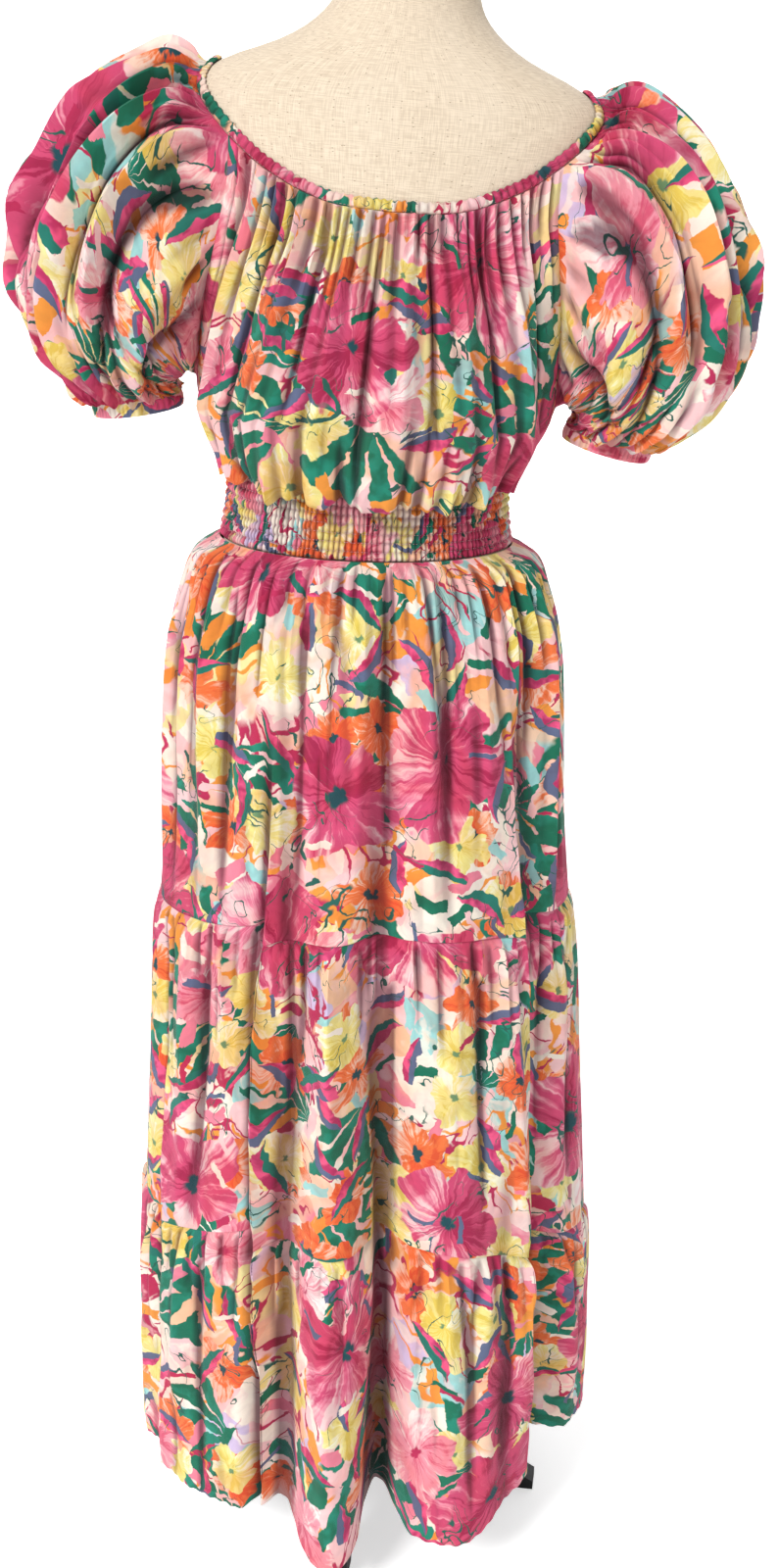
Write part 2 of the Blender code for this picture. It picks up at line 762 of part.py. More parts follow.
def build():
    """Make every piece of the dress, the form and the stand."""
    clear_scene()
    print_cloth = material("printed_cotton", (0.86, 0.46, 0.52), 0.85)
    smocked = material("smocked_cotton", (0.80, 0.36, 0.48), 0.85)
    linen = material("beige_linen", (0.75, 0.65, 0.52), 0.9)
    metal = material("black_metal", (0.02, 0.02, 0.02), 0.45, 0.6)
    for index in range(len(SEAMS) - 1):
        add_tier(index, FRONT, f"tier_{index + 1}_front", print_cloth)
        add_tier(index, BACK, f"tier_{index + 1}_back", print_cloth)
    add_bodice(FRONT, "bodice_front", print_cloth)
    add_bodice(BACK, "bodice_back", print_cloth)
    for side, word in ((1, "left"), (-1, "right")):
        add_sleeve(side, f"sleeve_{word}", print_cloth)
        add_cuff(side, f"cuff_{word}", print_cloth)
    add_casing(print_cloth)
    add_waistband(smocked)
    add_form(linen)
    add_pole(metal)
    for number, angle in enumerate(LEG_ANGLES):
        add_leg(math.radians(angle), f"stand_leg_{number + 1}", metal)
    stand_centred()


build()
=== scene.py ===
"""The finished looks of the tiered dress with puff sleeves on its linen dress form.

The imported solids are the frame. Each cloth piece here is a finer wall on the same form, with its
gathers, creases, print and sewing. Angles run round the upright axis from 0 at the front, through
+90 degrees at +X, to 180 degrees at the back. Lengths are in metres. Left and right name the
wearer's sides, so the left sleeve is at +X.
"""

import logging
import math
from dataclasses import dataclass
from enum import Enum
from typing import NamedTuple, Optional, Sequence

import bmesh
import bpy
import numpy as np
from mathutils import Matrix, Vector


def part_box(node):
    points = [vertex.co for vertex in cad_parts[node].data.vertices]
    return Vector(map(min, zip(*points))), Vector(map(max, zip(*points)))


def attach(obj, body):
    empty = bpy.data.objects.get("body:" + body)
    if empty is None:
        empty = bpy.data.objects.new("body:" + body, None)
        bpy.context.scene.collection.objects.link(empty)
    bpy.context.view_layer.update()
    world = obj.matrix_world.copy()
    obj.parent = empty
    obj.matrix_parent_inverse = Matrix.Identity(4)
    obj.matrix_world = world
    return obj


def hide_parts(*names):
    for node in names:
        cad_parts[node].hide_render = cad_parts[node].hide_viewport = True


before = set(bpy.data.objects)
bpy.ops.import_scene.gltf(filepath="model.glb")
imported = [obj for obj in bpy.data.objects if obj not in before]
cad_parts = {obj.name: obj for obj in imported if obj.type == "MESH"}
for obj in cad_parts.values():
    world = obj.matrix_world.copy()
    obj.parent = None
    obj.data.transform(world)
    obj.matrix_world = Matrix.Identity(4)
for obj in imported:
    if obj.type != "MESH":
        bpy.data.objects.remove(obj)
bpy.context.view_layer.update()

Colour = tuple[float, float, float]
WHITE: Colour = (1.0, 1.0, 1.0)
Socket = bpy.types.NodeSocket
Thing = bpy.types.Object
Surface = bpy.types.Material
Array = np.ndarray

log = logging.getLogger("dress")

# Levels and seams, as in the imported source.
FRONT = 0.0
BACK = math.pi
SEAM_GAP = 0.0003
WAIST_TOP = 1.140
WAIST_BOTTOM = 1.075
UNDERARM = 1.200
TIER_COLUMNS = 40
BODICE_COLUMNS = 28
SHOULDER_COLUMNS = 20
RAGLAN_ROWS = 6
LEAN = 0.080
LEAN_FROM = 1.000
LEAN_FULL = 1.200

# Dress form: height, half-width, depth in front, depth behind.
FORM_SECTIONS = (
    (0.800, 0.150, 0.106, 0.112), (0.812, 0.161, 0.115, 0.122), (0.870, 0.168, 0.119, 0.129),
    (0.930, 0.165, 0.115, 0.126), (1.000, 0.151, 0.105, 0.113), (1.060, 0.137, 0.097, 0.101),
    (1.120, 0.128, 0.093, 0.094), (1.180, 0.132, 0.101, 0.095), (1.240, 0.143, 0.117, 0.101),
    (1.290, 0.150, 0.127, 0.106), (1.340, 0.155, 0.119, 0.111), (1.395, 0.166, 0.104, 0.108),
    (1.440, 0.181, 0.089, 0.096), (1.466, 0.183, 0.078, 0.083), (1.482, 0.170, 0.070, 0.075),
    (1.496, 0.144, 0.065, 0.069), (1.508, 0.114, 0.061, 0.065), (1.524, 0.087, 0.058, 0.062),
    (1.545, 0.067, 0.056, 0.060), (1.570, 0.060, 0.055, 0.058), (1.600, 0.057, 0.054, 0.056),
    (1.612, 0.052, 0.049, 0.051),
)

# Skirt before its folds: height, half-width, depth in front, depth behind.
SKIRT_SECTIONS = (
    (1.075, 0.139, 0.101, 0.104), (1.062, 0.158, 0.112, 0.117), (1.035, 0.170, 0.126, 0.132),
    (0.980, 0.184, 0.143, 0.150), (0.900, 0.193, 0.151, 0.160), (0.800, 0.198, 0.156, 0.164),
    (0.700, 0.206, 0.164, 0.170), (0.580, 0.215, 0.173, 0.178), (0.460, 0.223, 0.181, 0.186),
    (0.340, 0.230, 0.188, 0.193), (0.200, 0.239, 0.195, 0.200), (0.000, 0.243, 0.199, 0.204),
)

# Seams round the skirt: height at the front, the viewer's left, the viewer's right, the back.
SEAMS = (
    (1.075, 1.075, 1.075, 1.075), (0.729, 0.714, 0.714, 0.722), (0.412, 0.372, 0.345, 0.392),
    (0.074, 0.088, 0.127, 0.086),
)

# Rows of a tier: how far down, puff below the seam, share of the gathers.
TIER_ROWS = (
    (0.00, 0.000, 0.00), (0.05, 0.004, 1.00), (0.22, 0.005, 0.90), (0.48, 0.002, 0.55), (0.76, 0.001, 0.35),
    (1.00, 0.000, 0.00),
)
LAST_ROW_GATHER = 0.45
TIER_GATHERS = (0.0030, 0.0042, 0.0046)
HEM_DIP = 0.55

# Largest folds: angle, half-width in degrees, height where it starts, depth at the hem.
FOLDS = (
    (-7, 10, 1.00, 0.034), (5, 8, 0.90, -0.052), (24, 17, 1.00, 0.030), (-22, 10, 1.00, -0.042),
    (-43, 13, 0.80, 0.003), (-66, 11, 0.70, -0.007), (53, 15, 1.00, -0.036), (77, 11, 0.66, 0.006),
    (104, 13, 0.78, -0.014), (126, 12, 0.94, 0.022), (147, 12, 0.98, -0.030), (168, 12, 1.00, 0.030),
    (188, 10, 0.94, -0.030), (208, 13, 0.98, 0.028), (232, 13, 0.90, -0.024), (253, 11, 0.76, 0.012),
)

# Bodice below the underarm: height, ease over the form, share of the gathers.
BODICE_ROWS = (
    (1.1400, 0.0052, 0.0), (1.1290, 0.0110, 0.6), (1.1330, 0.0180, 1.0), (1.1580, 0.0220, 0.8),
    (UNDERARM, 0.0210, 0.6),
)
BODICE_TOP_EASE = (0.0205, 0.0185, 0.0160, 0.0125, 0.0075, 0.0025)
BODICE_TOP_GATHER = (0.5, 0.5, 0.6, 0.9, 1.2, 0.0)
BODICE_GATHER = 0.0042
BUST_EASE = 0.55

# Neckline: angle in degrees, height on the form.
NECK_ROWS = (
    (0, 1.386), (20, 1.390), (40, 1.411), (52, 1.433), (65, 1.458), (78, 1.478), (90, 1.486), (102, 1.483),
    (115, 1.470), (128, 1.450), (140, 1.434), (160, 1.415), (180, 1.409),
)
FRONT_CORNER = math.radians(52)
BACK_CORNER = math.radians(128)
CASING_HALF_WIDTH = 0.005

# Sleeve rings: fan angle in degrees, near and far reach, half-depth, depth of its gathers.
SLEEVE_HINGE = (0.165, 1.200)
SLEEVE_RINGS = (
    (81, 0.014, 0.293, 0.082, 0.0040), (68, 0.018, 0.272, 0.096, 0.0060), (54, 0.020, 0.236, 0.102, 0.0070),
    (40, 0.020, 0.208, 0.100, 0.0070), (26, 0.020, 0.180, 0.093, 0.0060), (12, 0.019, 0.149, 0.081, 0.0045),
    (-1, 0.017, 0.117, 0.064, 0.0030), (-11, 0.014, 0.098, 0.045, 0.0000),
)

FULL_TURN = 6.283
SHELL = 0.0009
SIDE_GAP = 0.0002
LEAST_EASE = 0.0020
# Painted shade given to the inner side of every cloth wall.
INNER_SHADE = 0.8
LOW_ROWS = len(BODICE_ROWS) - 1
NECK_ROW = LOW_ROWS + RAGLAN_ROWS
RING_COLUMNS = 2 * RAGLAN_ROWS + SHOULDER_COLUMNS


class Side(Enum):
    """The wearer's two sides, by their direction along X."""

    LEFT = 1
    RIGHT = -1


class Held(Enum):
    """How a sheet of cloth is held."""

    GATHERED = "gathered"
    STRETCHED = "stretched"


class Slot(Enum):
    """The record's material slots."""

    PRINT = "printed_cotton"
    SMOCKED = "smocked_cotton"
    LINEN = "beige_linen"
    METAL = "black_metal"


class Crease(NamedTuple):
    """One soft ridge or trough that runs down a piece."""

    across: float
    lean: float
    half_width: float
    start: float
    end: float
    depth: float


# Shapes that the pieces share.


class SmoothCurve:
    """A smooth curve through listed points, read at any place along it."""

    def __init__(self, xs: Sequence[float], ys: Sequence[float]) -> None:
        """Keep the points and the slope at each.

        Args:
            xs: Where the points lie, rising.
            ys: The value at each.
        """
        self.xs = np.asarray(xs, float)
        self.ys = np.asarray(ys, float)
        count = len(self.xs)
        low = np.maximum(np.arange(count) - 1, 0)
        high = np.minimum(np.arange(count) + 1, count - 1)
        self.slopes = (self.ys[high] - self.ys[low]) / (self.xs[high] - self.xs[low])

    def __call__(self, x: Array) -> Array:
        """Read the curve.

        Args:
            x: Where to read it; past either end it keeps its end value.

        Returns:
            The value at each place.
        """
        x = np.clip(x, self.xs[0], self.xs[-1])
        k = np.clip(np.searchsorted(self.xs, x, side="right") - 1, 0, len(self.xs) - 2)
        step = self.xs[k + 1] - self.xs[k]
        t = (x - self.xs[k]) / step
        start = (1 + 2 * t) * (1 - t) ** 2 * self.ys[k] + t * (1 - t) ** 2 * step * self.slopes[k]
        end = t * t * (3 - 2 * t) * self.ys[k + 1] + t * t * (t - 1) * step * self.slopes[k + 1]
        return start + end


class Sections:
    """A round shape given by its half-width and depths at several heights."""

    def __init__(self, rows: Sequence[tuple[float, float, float, float]]) -> None:
        """Keep one curve for each column of the table."""
        table = np.array(sorted(rows))
        self.half_width, self.front, self.back = (SmoothCurve(table[:, 0], table[:, i]) for i in (1, 2, 3))

    def point(self, angle: Array, height: Array) -> Array:
        """The surface point at an angle and a height.

        Args:
            angle: Angles about the upright axis.
            height: Heights.

        Returns:
            The points.
        """
        angle, height = np.broadcast_arrays(angle, height)
        depth = np.where(np.cos(angle) > 0, self.front(height), self.back(height))
        across = self.half_width(height) * np.sin(angle)
        return np.stack([across, -depth * np.cos(angle), height], axis=-1)

    def outward(self, angle: Array, height: Array) -> Array:
        """The level direction straight out of the surface.

        Args:
            angle: Angles about the upright axis.
            height: Heights.

        Returns:
            The directions.
        """
        angle, height = np.broadcast_arrays(angle, height)
        depth = np.where(np.cos(angle) > 0, self.front(height), self.back(height))
        across = np.sin(angle) / self.half_width(height)
        return unit(np.stack([across, -np.cos(angle) / depth, np.zeros_like(across)], axis=-1))

    def normal(self, angle: Array, height: Array) -> Array:
        """The direction straight out of the surface, up and down counted.

        Args:
            angle: Angles about the upright axis.
            height: Heights.

        Returns:
            The directions.
        """
        step = 0.004
        rise = self.point(angle, height + step) - self.point(angle, height - step)
        along = self.point(angle + 0.01, height) - self.point(angle - 0.01, height)
        return unit(np.cross(along, rise))

    def over(self, angle: Array, height: Array, ease: Array) -> Array:
        """A point that lies clear of the surface by the ease."""
        return self.point(angle, height) + self.normal(angle, height) * np.asarray(ease)[..., None]


def unit(vectors: Array) -> Array:
    """The same directions, one metre long."""
    return vectors / np.maximum(np.linalg.norm(vectors, axis=-1, keepdims=True), 1e-12)


def ease_in(value: Array, low: float, high: float) -> Array:
    """A soft step from 0 at low to 1 at high."""
    t = np.clip((value - low) / (high - low), 0.0, 1.0)
    return t * t * (3 - 2 * t)


FORM = Sections(FORM_SECTIONS)
SKIRT = Sections(SKIRT_SECTIONS)
NECK_HEIGHT = SmoothCurve([row[0] for row in NECK_ROWS], [row[1] for row in NECK_ROWS])
SIDE_TAPER = SmoothCurve((0, 1, 2, 3, 4, 5, 6), (0.9, 0.55, 0.42, 0.66, 1.32, 1.15, 1.0))


def pole_shift() -> Array:
    """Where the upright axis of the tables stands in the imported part."""
    low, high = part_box("stand_pole")
    return np.array([(low[0] + high[0]) / 2, (low[1] + high[1]) / 2, 0.0])


def leaned(points: Array) -> Array:
    """Where points go when the form leans on its pole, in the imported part's place.

    Args:
        points: Points about the upright axis.

    Returns:
        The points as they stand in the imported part.
    """
    span = LEAN_FULL - LEAN_FROM
    share = np.clip((points[..., 2] - LEAN_FROM) / span, 0.0, 1.0)
    lean = LEAN * share * share * (3 - 2 * share)
    out = points.copy()
    out[..., 0] += LEAN * (span * share ** 3 * (1 - share / 2) + np.clip(points[..., 2] - LEAN_FULL, 0, None))
    out[..., 2] -= points[..., 0] * lean
    return out + pole_shift()


def seam_height(seam: tuple[float, float, float, float], angle: Array) -> Array:
    """The height of a seam round the skirt.

    Args:
        seam: Its height at the front, at either side and at the back.
        angle: Angles about the upright axis.

    Returns:
        The heights.
    """
    front, viewer_left, viewer_right, back = seam
    middle = np.where(np.cos(angle) > 0, front, back)
    side = np.where(np.sin(angle) > 0, viewer_right, viewer_left)
    return middle * np.cos(angle) ** 2 + side * np.sin(angle) ** 2


def fold_depth(angle: Array, height: Array) -> Array:
    """How far the largest folds push the skirt out or in.

    Args:
        angle: Angles about the upright axis.
        height: Heights.

    Returns:
        The push, in metres.
    """
    total = np.zeros(np.broadcast_shapes(angle.shape, height.shape))
    for centre, half_width, start, depth in FOLDS:
        turn = (np.degrees(angle) - centre + 180) % 360 - 180
        inside = np.cos(np.pi / 2 * np.clip(turn / half_width, -1, 1)) ** 2
        fall = np.clip((start - height) / start, 0.0, 1.0)
        total = total + depth * inside * fall ** 0.8
    return total


def gather(column: Array, strength: Array) -> Array:
    """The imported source's wave of four columns, made continuous.

    Args:
        column: Place across, in the source's columns.
        strength: The wave's height.

    Returns:
        The push, in metres.
    """
    wave = column / 4
    uneven = 0.75 + 0.25 * np.sin(2.4 * wave) + 0.15 * np.sin(5.1 * wave + 1.0)
    return strength * uneven * np.cos(np.pi / 2 * column)


def crease_depth(creases: Sequence[Crease], across: Array, down: Array) -> Array:
    """How far a list of creases pushes the cloth out or in.

    Args:
        creases: The creases, across and widths in the same unit as across.
        across: Where each point lies across the piece.
        down: How far down the piece it lies, 0 to 1.

    Returns:
        The push at each point, in metres.
    """
    total = np.zeros(np.broadcast_shapes(across.shape, down.shape))
    for one in creases:
        place = across - one.across - one.lean * (down - one.start)
        middle = (down - one.start) / max(one.end - one.start, 1e-6)
        fade = ease_in(middle, -0.02, 0.14) * (1 - ease_in(middle, 0.55, 1.0))
        widen = one.half_width * (0.7 + 0.6 * np.clip(middle, 0, 1))
        sharp = 1.7 if one.depth > 0 else 1.1
        total = total + one.depth * np.exp(-np.abs(place / widen) ** sharp) * fade
    return total


def scattered(seed: int, count: int, span: tuple[float, float], width: tuple[float, float],
              length: tuple[float, float], depth: tuple[float, float], lean: float = 0.0,
              start: tuple[float, float] = (0.0, 0.0)) -> list[Crease]:
    """Uneven small gathers, every other one a trough.

    Args:
        seed: Fixes the draw.
        count: How many.
        span: The lowest and highest place across.
        width: The least and most half-width.
        length: The least and most share of the piece's length.
        depth: The least and most depth.
        lean: The most drift across, in the unit of span.
        start: The least and most place down the piece where one starts.

    Returns:
        The creases.
    """
    draw = np.random.default_rng(seed)
    spots = np.linspace(span[0], span[1], count, endpoint=False)
    pitch = (span[1] - span[0]) / count
    creases = []
    for i, spot in enumerate(spots):
        first = draw.uniform(*start)
        sign = 1.0 if i % 2 else -1.1
        creases.append(Crease(
            spot + draw.uniform(-0.4, 0.4) * pitch,
            draw.uniform(-lean, lean),
            draw.uniform(*width),
            first,
            first + draw.uniform(*length),
            sign * draw.uniform(*depth),
        ))
    return creases


def ripple_noise(seed: int, across: Array, down: Array, waves: int = 14,
                 reach: tuple[float, float] = (9.0, 34.0)) -> Array:
    """A smooth uneven surface of about unit height, for soft dents in hung cloth.

    Args:
        seed: Fixes the draw.
        across: Place across, in metres.
        down: Place down, in metres.
        waves: How many waves are summed.
        reach: Their least and most count per metre.

    Returns:
        The height at each point.
    """
    draw = np.random.default_rng(seed)
    total = np.zeros(np.broadcast_shapes(across.shape, down.shape))
    for _ in range(waves):
        size = draw.uniform(*reach)
        way = draw.normal(0.0, 0.45)
        phase = draw.uniform(0, 2 * np.pi)
        total = total + np.sin(2 * np.pi * size * (across * np.cos(way) + down * np.sin(way) * 0.6) + phase)
    return total / math.sqrt(waves)


def grid_normals(grid: Array, all_round: bool) -> Array:
    """The direction out of each point of a grid, whose rows go down and columns turn to +X.

    Args:
        grid: Points by row and column.
        all_round: Whether the last column joins the first.

    Returns:
        The directions.
    """
    down = np.gradient(grid, axis=0)
    if all_round:
        along = np.roll(grid, -1, axis=1) - np.roll(grid, 1, axis=1)
    else:
        along = np.gradient(grid, axis=1)
    return unit(np.cross(down, along))


def arc_lengths(grid: Array, axis: int) -> Array:
    """The distance travelled along one axis of a grid.

    Args:
        grid: Points by row and column.
        axis: 0 down its columns, 1 along its rows.

    Returns:
        The distance at each point.
    """
    steps = np.linalg.norm(np.diff(grid, axis=axis), axis=-1)
    total = np.cumsum(steps, axis=axis)
    start = np.zeros_like(np.take(total, [0], axis=axis))
    return np.concatenate([start, total], axis=axis)


def add_object(name: str, data: object) -> Thing:
    """A new object in the scene.

    Args:
        name: Its name.
        data: Its mesh, light or camera.

    Returns:
        The object.
    """
    thing = bpy.data.objects.new(name, data)
    bpy.context.scene.collection.objects.link(thing)
    return thing


def mesh_object(name: str, points: Array, faces: Array, cuts: Array,
                crease: float = 50.0, painted_shade: Optional[Array] = None) -> Thing:
    """A smooth-shaded object, faces turned outwards, with its cut as a UV map.

    Args:
        name: The piece's name.
        points: Its points, one per row.
        faces: Its four-sided faces, by point number.
        cuts: The place on the flat cut of each face corner, in metres.
        crease: Edges bent by more degrees than this stay sharp.
        painted_shade: The painted shade of each point, 0 to 1, from how deep in a trough it lies, or None.

    Returns:
        The object, at the origin.
    """
    a, b, c, d = (points[faces[:, i]] for i in range(4))
    if (a * np.cross(b, c)).sum() + (a * np.cross(c, d)).sum() < 0:
        faces, cuts = faces[:, ::-1], cuts[:, ::-1]
    mesh = bpy.data.meshes.new(name)
    mesh.from_pydata(points.tolist(), [], faces.tolist())
    mesh.update()
    mesh.uv_layers.new(name="cut").data.foreach_set("uv", cuts.reshape(-1).astype(np.float32))
    if painted_shade is not None:
        mesh.attributes.new("painted_shade", "FLOAT", "POINT").data.foreach_set("value", painted_shade.astype(np.float32))
    mesh.shade_smooth()
    mesh.set_sharp_from_angle(angle=math.radians(crease))
    return add_object(name, mesh)


def steps(start: Array) -> Array:
    """The corners of faces along a line of them: out and back across each step."""
    return np.stack([start, start + 1, start + 1, start], axis=1)


def squares(rows: int, columns: int) -> tuple[Array, Array]:
    """The corners of a grid's faces.

    Args:
        rows: How many faces it has down.
        columns: How many faces it has across.

    Returns:
        Each corner's row and its column.
    """
    r, c = (part.ravel() for part in np.meshgrid(np.arange(rows), np.arange(columns), indexing="ij"))
    return np.stack([r + 1, r + 1, r, r], axis=1), steps(c)


def shell(name: str, outer: Array, inner: Array, cut: Array, all_round: bool = False,
          painted_shade: Optional[Array] = None) -> Thing:
    """A closed thin wall from the grids of its outer and inner points.

    Args:
        name: The piece's name.
        outer: Outer points by row and column, about the upright axis.
        inner: Inner points, laid out the same way.
        cut: The place of each on the flat cut; one column more than outer where all_round.
        all_round: Whether the last column joins the first.
        painted_shade: The painted shade of each outer point, from how deep in a trough it lies, where it
            isn't worked out here.

    Returns:
        The object.
    """
    rows, columns = outer.shape[:2]
    spans = columns if all_round else columns - 1
    back = rows * columns
    r, c = squares(rows - 1, spans)
    faces = [r * columns + c % columns, (r * columns + c % columns + back)[:, ::-1]]
    places = [(r, c), (r[:, ::-1], c[:, ::-1])]
    across, upright = steps(np.arange(spans)), steps(np.arange(rows - 1))
    rims = [(np.full_like(across, row), across, turn) for row, turn in ((0, 1), (rows - 1, -1))]
    if not all_round:
        sides = ((0, -1), (columns - 1, 1))
        rims += [(upright, np.full_like(upright, column), turn) for column, turn in sides]
    for edge_r, edge_c, turn in rims:
        rim = edge_r * columns + edge_c % columns + np.array([0, 0, back, back])
        faces.append(rim[:, ::turn])
        places.append((edge_r[:, ::turn], edge_c[:, ::turn]))
    cuts = np.concatenate([cut[one_r, one_c] for one_r, one_c in places])
    points = leaned(np.concatenate([outer.reshape(-1, 3), inner.reshape(-1, 3)]))
    # Painted shade: outer points darken by how deep they lie in troughs, inner points by a fixed amount.
    depth = trough_shade(outer, inner) if painted_shade is None else painted_shade
    depth = np.concatenate([depth.ravel(), np.full(back, INNER_SHADE)])
    return mesh_object(name, points, np.concatenate(faces), cuts, painted_shade=depth)


def trough_shade(outer: Array, inner: Array) -> Array:
    """How deep each outer point lies in a trough between gathers, 0 to 1.

    Args:
        outer: Outer points by row and column.
        inner: Inner points, which tell which way is out.

    Returns:
        A number for each point.
    """
    # Painted shade: the deeper a point lies in a trough, the darker its colour is painted.
    way = unit(outer - inner)
    fine = ((smoothed(outer, 3) - outer) * way).sum(axis=-1) / 0.0011
    broad = ((smoothed(outer, 9) - outer) * way).sum(axis=-1) / 0.0045
    return np.clip(0.03 + 0.60 * np.clip(fine, -0.5, 1) + 0.75 * np.clip(broad, -0.5, 1), 0, 1)


def declare(piece: Thing, slot: Slot, surface: Surface, *nodes: str) -> None:
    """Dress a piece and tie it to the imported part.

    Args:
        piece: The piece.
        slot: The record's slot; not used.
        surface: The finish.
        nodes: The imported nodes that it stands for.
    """
    piece.data.materials.clear()
    piece.data.materials.append(surface)
    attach(piece, "root")
    if nodes:
        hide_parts(*nodes)
    log.info("%s: %d faces", piece.name, len(piece.data.polygons))


# Finishes.


class Spot(NamedTuple):
    """The nearest spot of a motif: a moved place, the same place about the spot, and the spot's draws."""

    moved: Socket
    local: Socket
    seed: Socket
    second: Socket
    third: Socket


class NodeBoard:
    """Short calls that lay out one material's nodes."""

    def __init__(self, name: str, flat: bool = False) -> None:
        """Start a material with its shader.

        Args:
            name: The material's name.
            flat: Whether it is painted on a cut, so that its noise is flat too.
        """
        self.flat = flat
        self.material = bpy.data.materials.new(name)
        self.material.use_nodes = True
        self.tree = self.material.node_tree
        self.shader = self.tree.nodes["Principled BSDF"]

    def node(self, kind: str, **settings: object) -> bpy.types.Node:
        """Add a node and set its properties.

        Args:
            kind: The node's type.
            settings: Its properties by name.

        Returns:
            The node.
        """
        made = self.tree.nodes.new(kind)
        for key, value in settings.items():
            setattr(made, key, value)
        return made

    def feed(self, socket: Socket, value: object) -> None:
        """Link a socket, or set a number or a colour on it.

        Args:
            socket: The socket.
            value: Another socket, a number or a colour.
        """
        if isinstance(value, bpy.types.NodeSocket):
            self.tree.links.new(value, socket)
        elif isinstance(value, tuple) and len(value) == 3 and socket.type == "RGBA":
            socket.default_value = (*value, 1.0)
        else:
            socket.default_value = value

    def math(self, operation: str, *values: object) -> Socket:
        """A Math node's result.

        Args:
            operation: What it works out.
            values: What goes into it.

        Returns:
            The result's socket.
        """
        made = self.node("ShaderNodeMath", operation=operation)
        for socket, value in zip(made.inputs, values):
            self.feed(socket, value)
        return made.outputs[0]

    def vector(self, operation: str, *values: object, out: int = 0) -> Socket:
        """A Vector Math node's result.

        Args:
            operation: What it works out.
            values: What goes into it.
            out: The number of the result's socket.

        Returns:
            The result's socket.
        """
        made = self.node("ShaderNodeVectorMath", operation=operation)
        sockets = [made.inputs[0], made.inputs["Scale"]] if operation == "SCALE" else made.inputs
        for socket, value in zip(sockets, values):
            self.feed(socket, value)
        return made.outputs[out]

    def mix(self, share: object, first: object, second: object, blend: str = "MIX") -> Socket:
        """A mix of two colours.

        Args:
            share: How much of the second.
            first: The first colour.
            second: The second colour.
            blend: The way they are mixed.

        Returns:
            The mixed colour.
        """
        made = self.node("ShaderNodeMix", data_type="RGBA", blend_type=blend)
        self.feed(made.inputs[0], share)
        self.feed(made.inputs[6], first)
        self.feed(made.inputs[7], second)
        return made.outputs[2]

    def step(self, value: object, low: float, high: float) -> Socket:
        """A soft step from 0 at low to 1 at high.

        Args:
            value: What is read.
            low: Where the step starts.
            high: Where it ends.

        Returns:
            The step.
        """
        made = self.node("ShaderNodeMapRange", interpolation_type="SMOOTHSTEP")
        self.feed(made.inputs["Value"], value)
        made.inputs["From Min"].default_value = low
        made.inputs["From Max"].default_value = high
        return made.outputs[0]

    def noise(self, place: object, scale: float, detail: float = 2.0, rough: float = 0.5,
              distortion: float = 0.0, colour: bool = False) -> Socket:
        """A noise texture's value, or its colour.

        Args:
            place: Where it is read.
            scale: How fine it is.
            detail: How many finer layers it has.
            rough: The finer layers' strength.
            distortion: How much it swirls.
            colour: Whether its colour is given.

        Returns:
            The value or the colour.
        """
        made = self.node("ShaderNodeTexNoise", noise_dimensions="2D" if self.flat else "3D")
        for name, value in (("Vector", place), ("Scale", scale), ("Detail", detail), ("Roughness", rough),
                            ("Distortion", distortion)):
            self.feed(made.inputs[name], value)
        return made.outputs[1 if colour else 0]

    def cells(self, place: object, spacing: float, jitter: float = 1.0) -> bpy.types.Node:
        """A flat Voronoi texture, one cell for each motif.

        Args:
            place: Where it is read.
            spacing: The distance between cells.
            jitter: How unevenly they lie, 0 to 1.

        Returns:
            The node.
        """
        made = self.node("ShaderNodeTexVoronoi", voronoi_dimensions="2D")
        self.feed(made.inputs["Vector"], place)
        made.inputs["Scale"].default_value = 1.0 / spacing
        made.inputs["Randomness"].default_value = jitter
        return made

    def spots(self, place: Socket, spacing: float, jitter: float, offset: tuple[float, float]) -> Spot:
        """Scattered spots for one kind of motif, each turned its own way.

        Args:
            place: The place on the cut, in metres.
            spacing: The distance between spots.
            jitter: How unevenly they lie, 0 to 1.
            offset: Moves them all, so that kinds don't fall together.

        Returns:
            The nearest spot, as seen from each place.
        """
        moved = self.vector("ADD", place, (*offset, 0.0))
        cell = self.cells(moved, spacing, jitter)
        turned = self.node("ShaderNodeVectorRotate", rotation_type="Z_AXIS")
        self.feed(turned.inputs["Vector"], self.vector("SUBTRACT", moved, cell.outputs["Position"]))
        first, second, third = self.split(cell.outputs["Color"])
        self.feed(turned.inputs["Angle"], self.math("MULTIPLY", first, FULL_TURN))
        return Spot(moved, turned.outputs[0], cell.outputs["Color"], second, third)

    def hollow_shade(self, colour: Socket, darkest: Colour) -> Socket:
        """Deepen a colour where the cloth lies in a trough."""
        # Painted shade: the colour is darkened towards the darkest colour as the point attribute tells.
        depth = self.node("ShaderNodeAttribute", attribute_name="painted_shade").outputs["Fac"]
        return self.mix(1.0, colour, self.mix(depth, WHITE, darkest), "MULTIPLY")

    def ramp(self, value: object, stops: Sequence[tuple[float, Colour]], steps: bool = False) -> Socket:
        """A colour ramp through the listed stops.

        Args:
            value: What is read.
            stops: Each stop's place and colour.
            steps: Whether the colours change at once.

        Returns:
            The colour.
        """
        made = self.node("ShaderNodeValToRGB")
        bar = made.color_ramp
        bar.interpolation = "CONSTANT" if steps else "LINEAR"
        for place, colour in stops[1:-1]:
            bar.elements.new(place).color = (*colour, 1.0)
        first, last = bar.elements[0], bar.elements[-1]
        first.position, first.color = stops[0][0], (*stops[0][1], 1.0)
        last.position, last.color = stops[-1][0], (*stops[-1][1], 1.0)
        self.feed(made.inputs[0], value)
        return made.outputs[0]

    def split(self, value: Socket) -> list[Socket]:
        """The three parts of a vector or a colour.

        Args:
            value: The vector or colour.

        Returns:
            Its parts.
        """
        made = self.node("ShaderNodeSeparateXYZ")
        self.feed(made.inputs[0], value)
        return list(made.outputs)

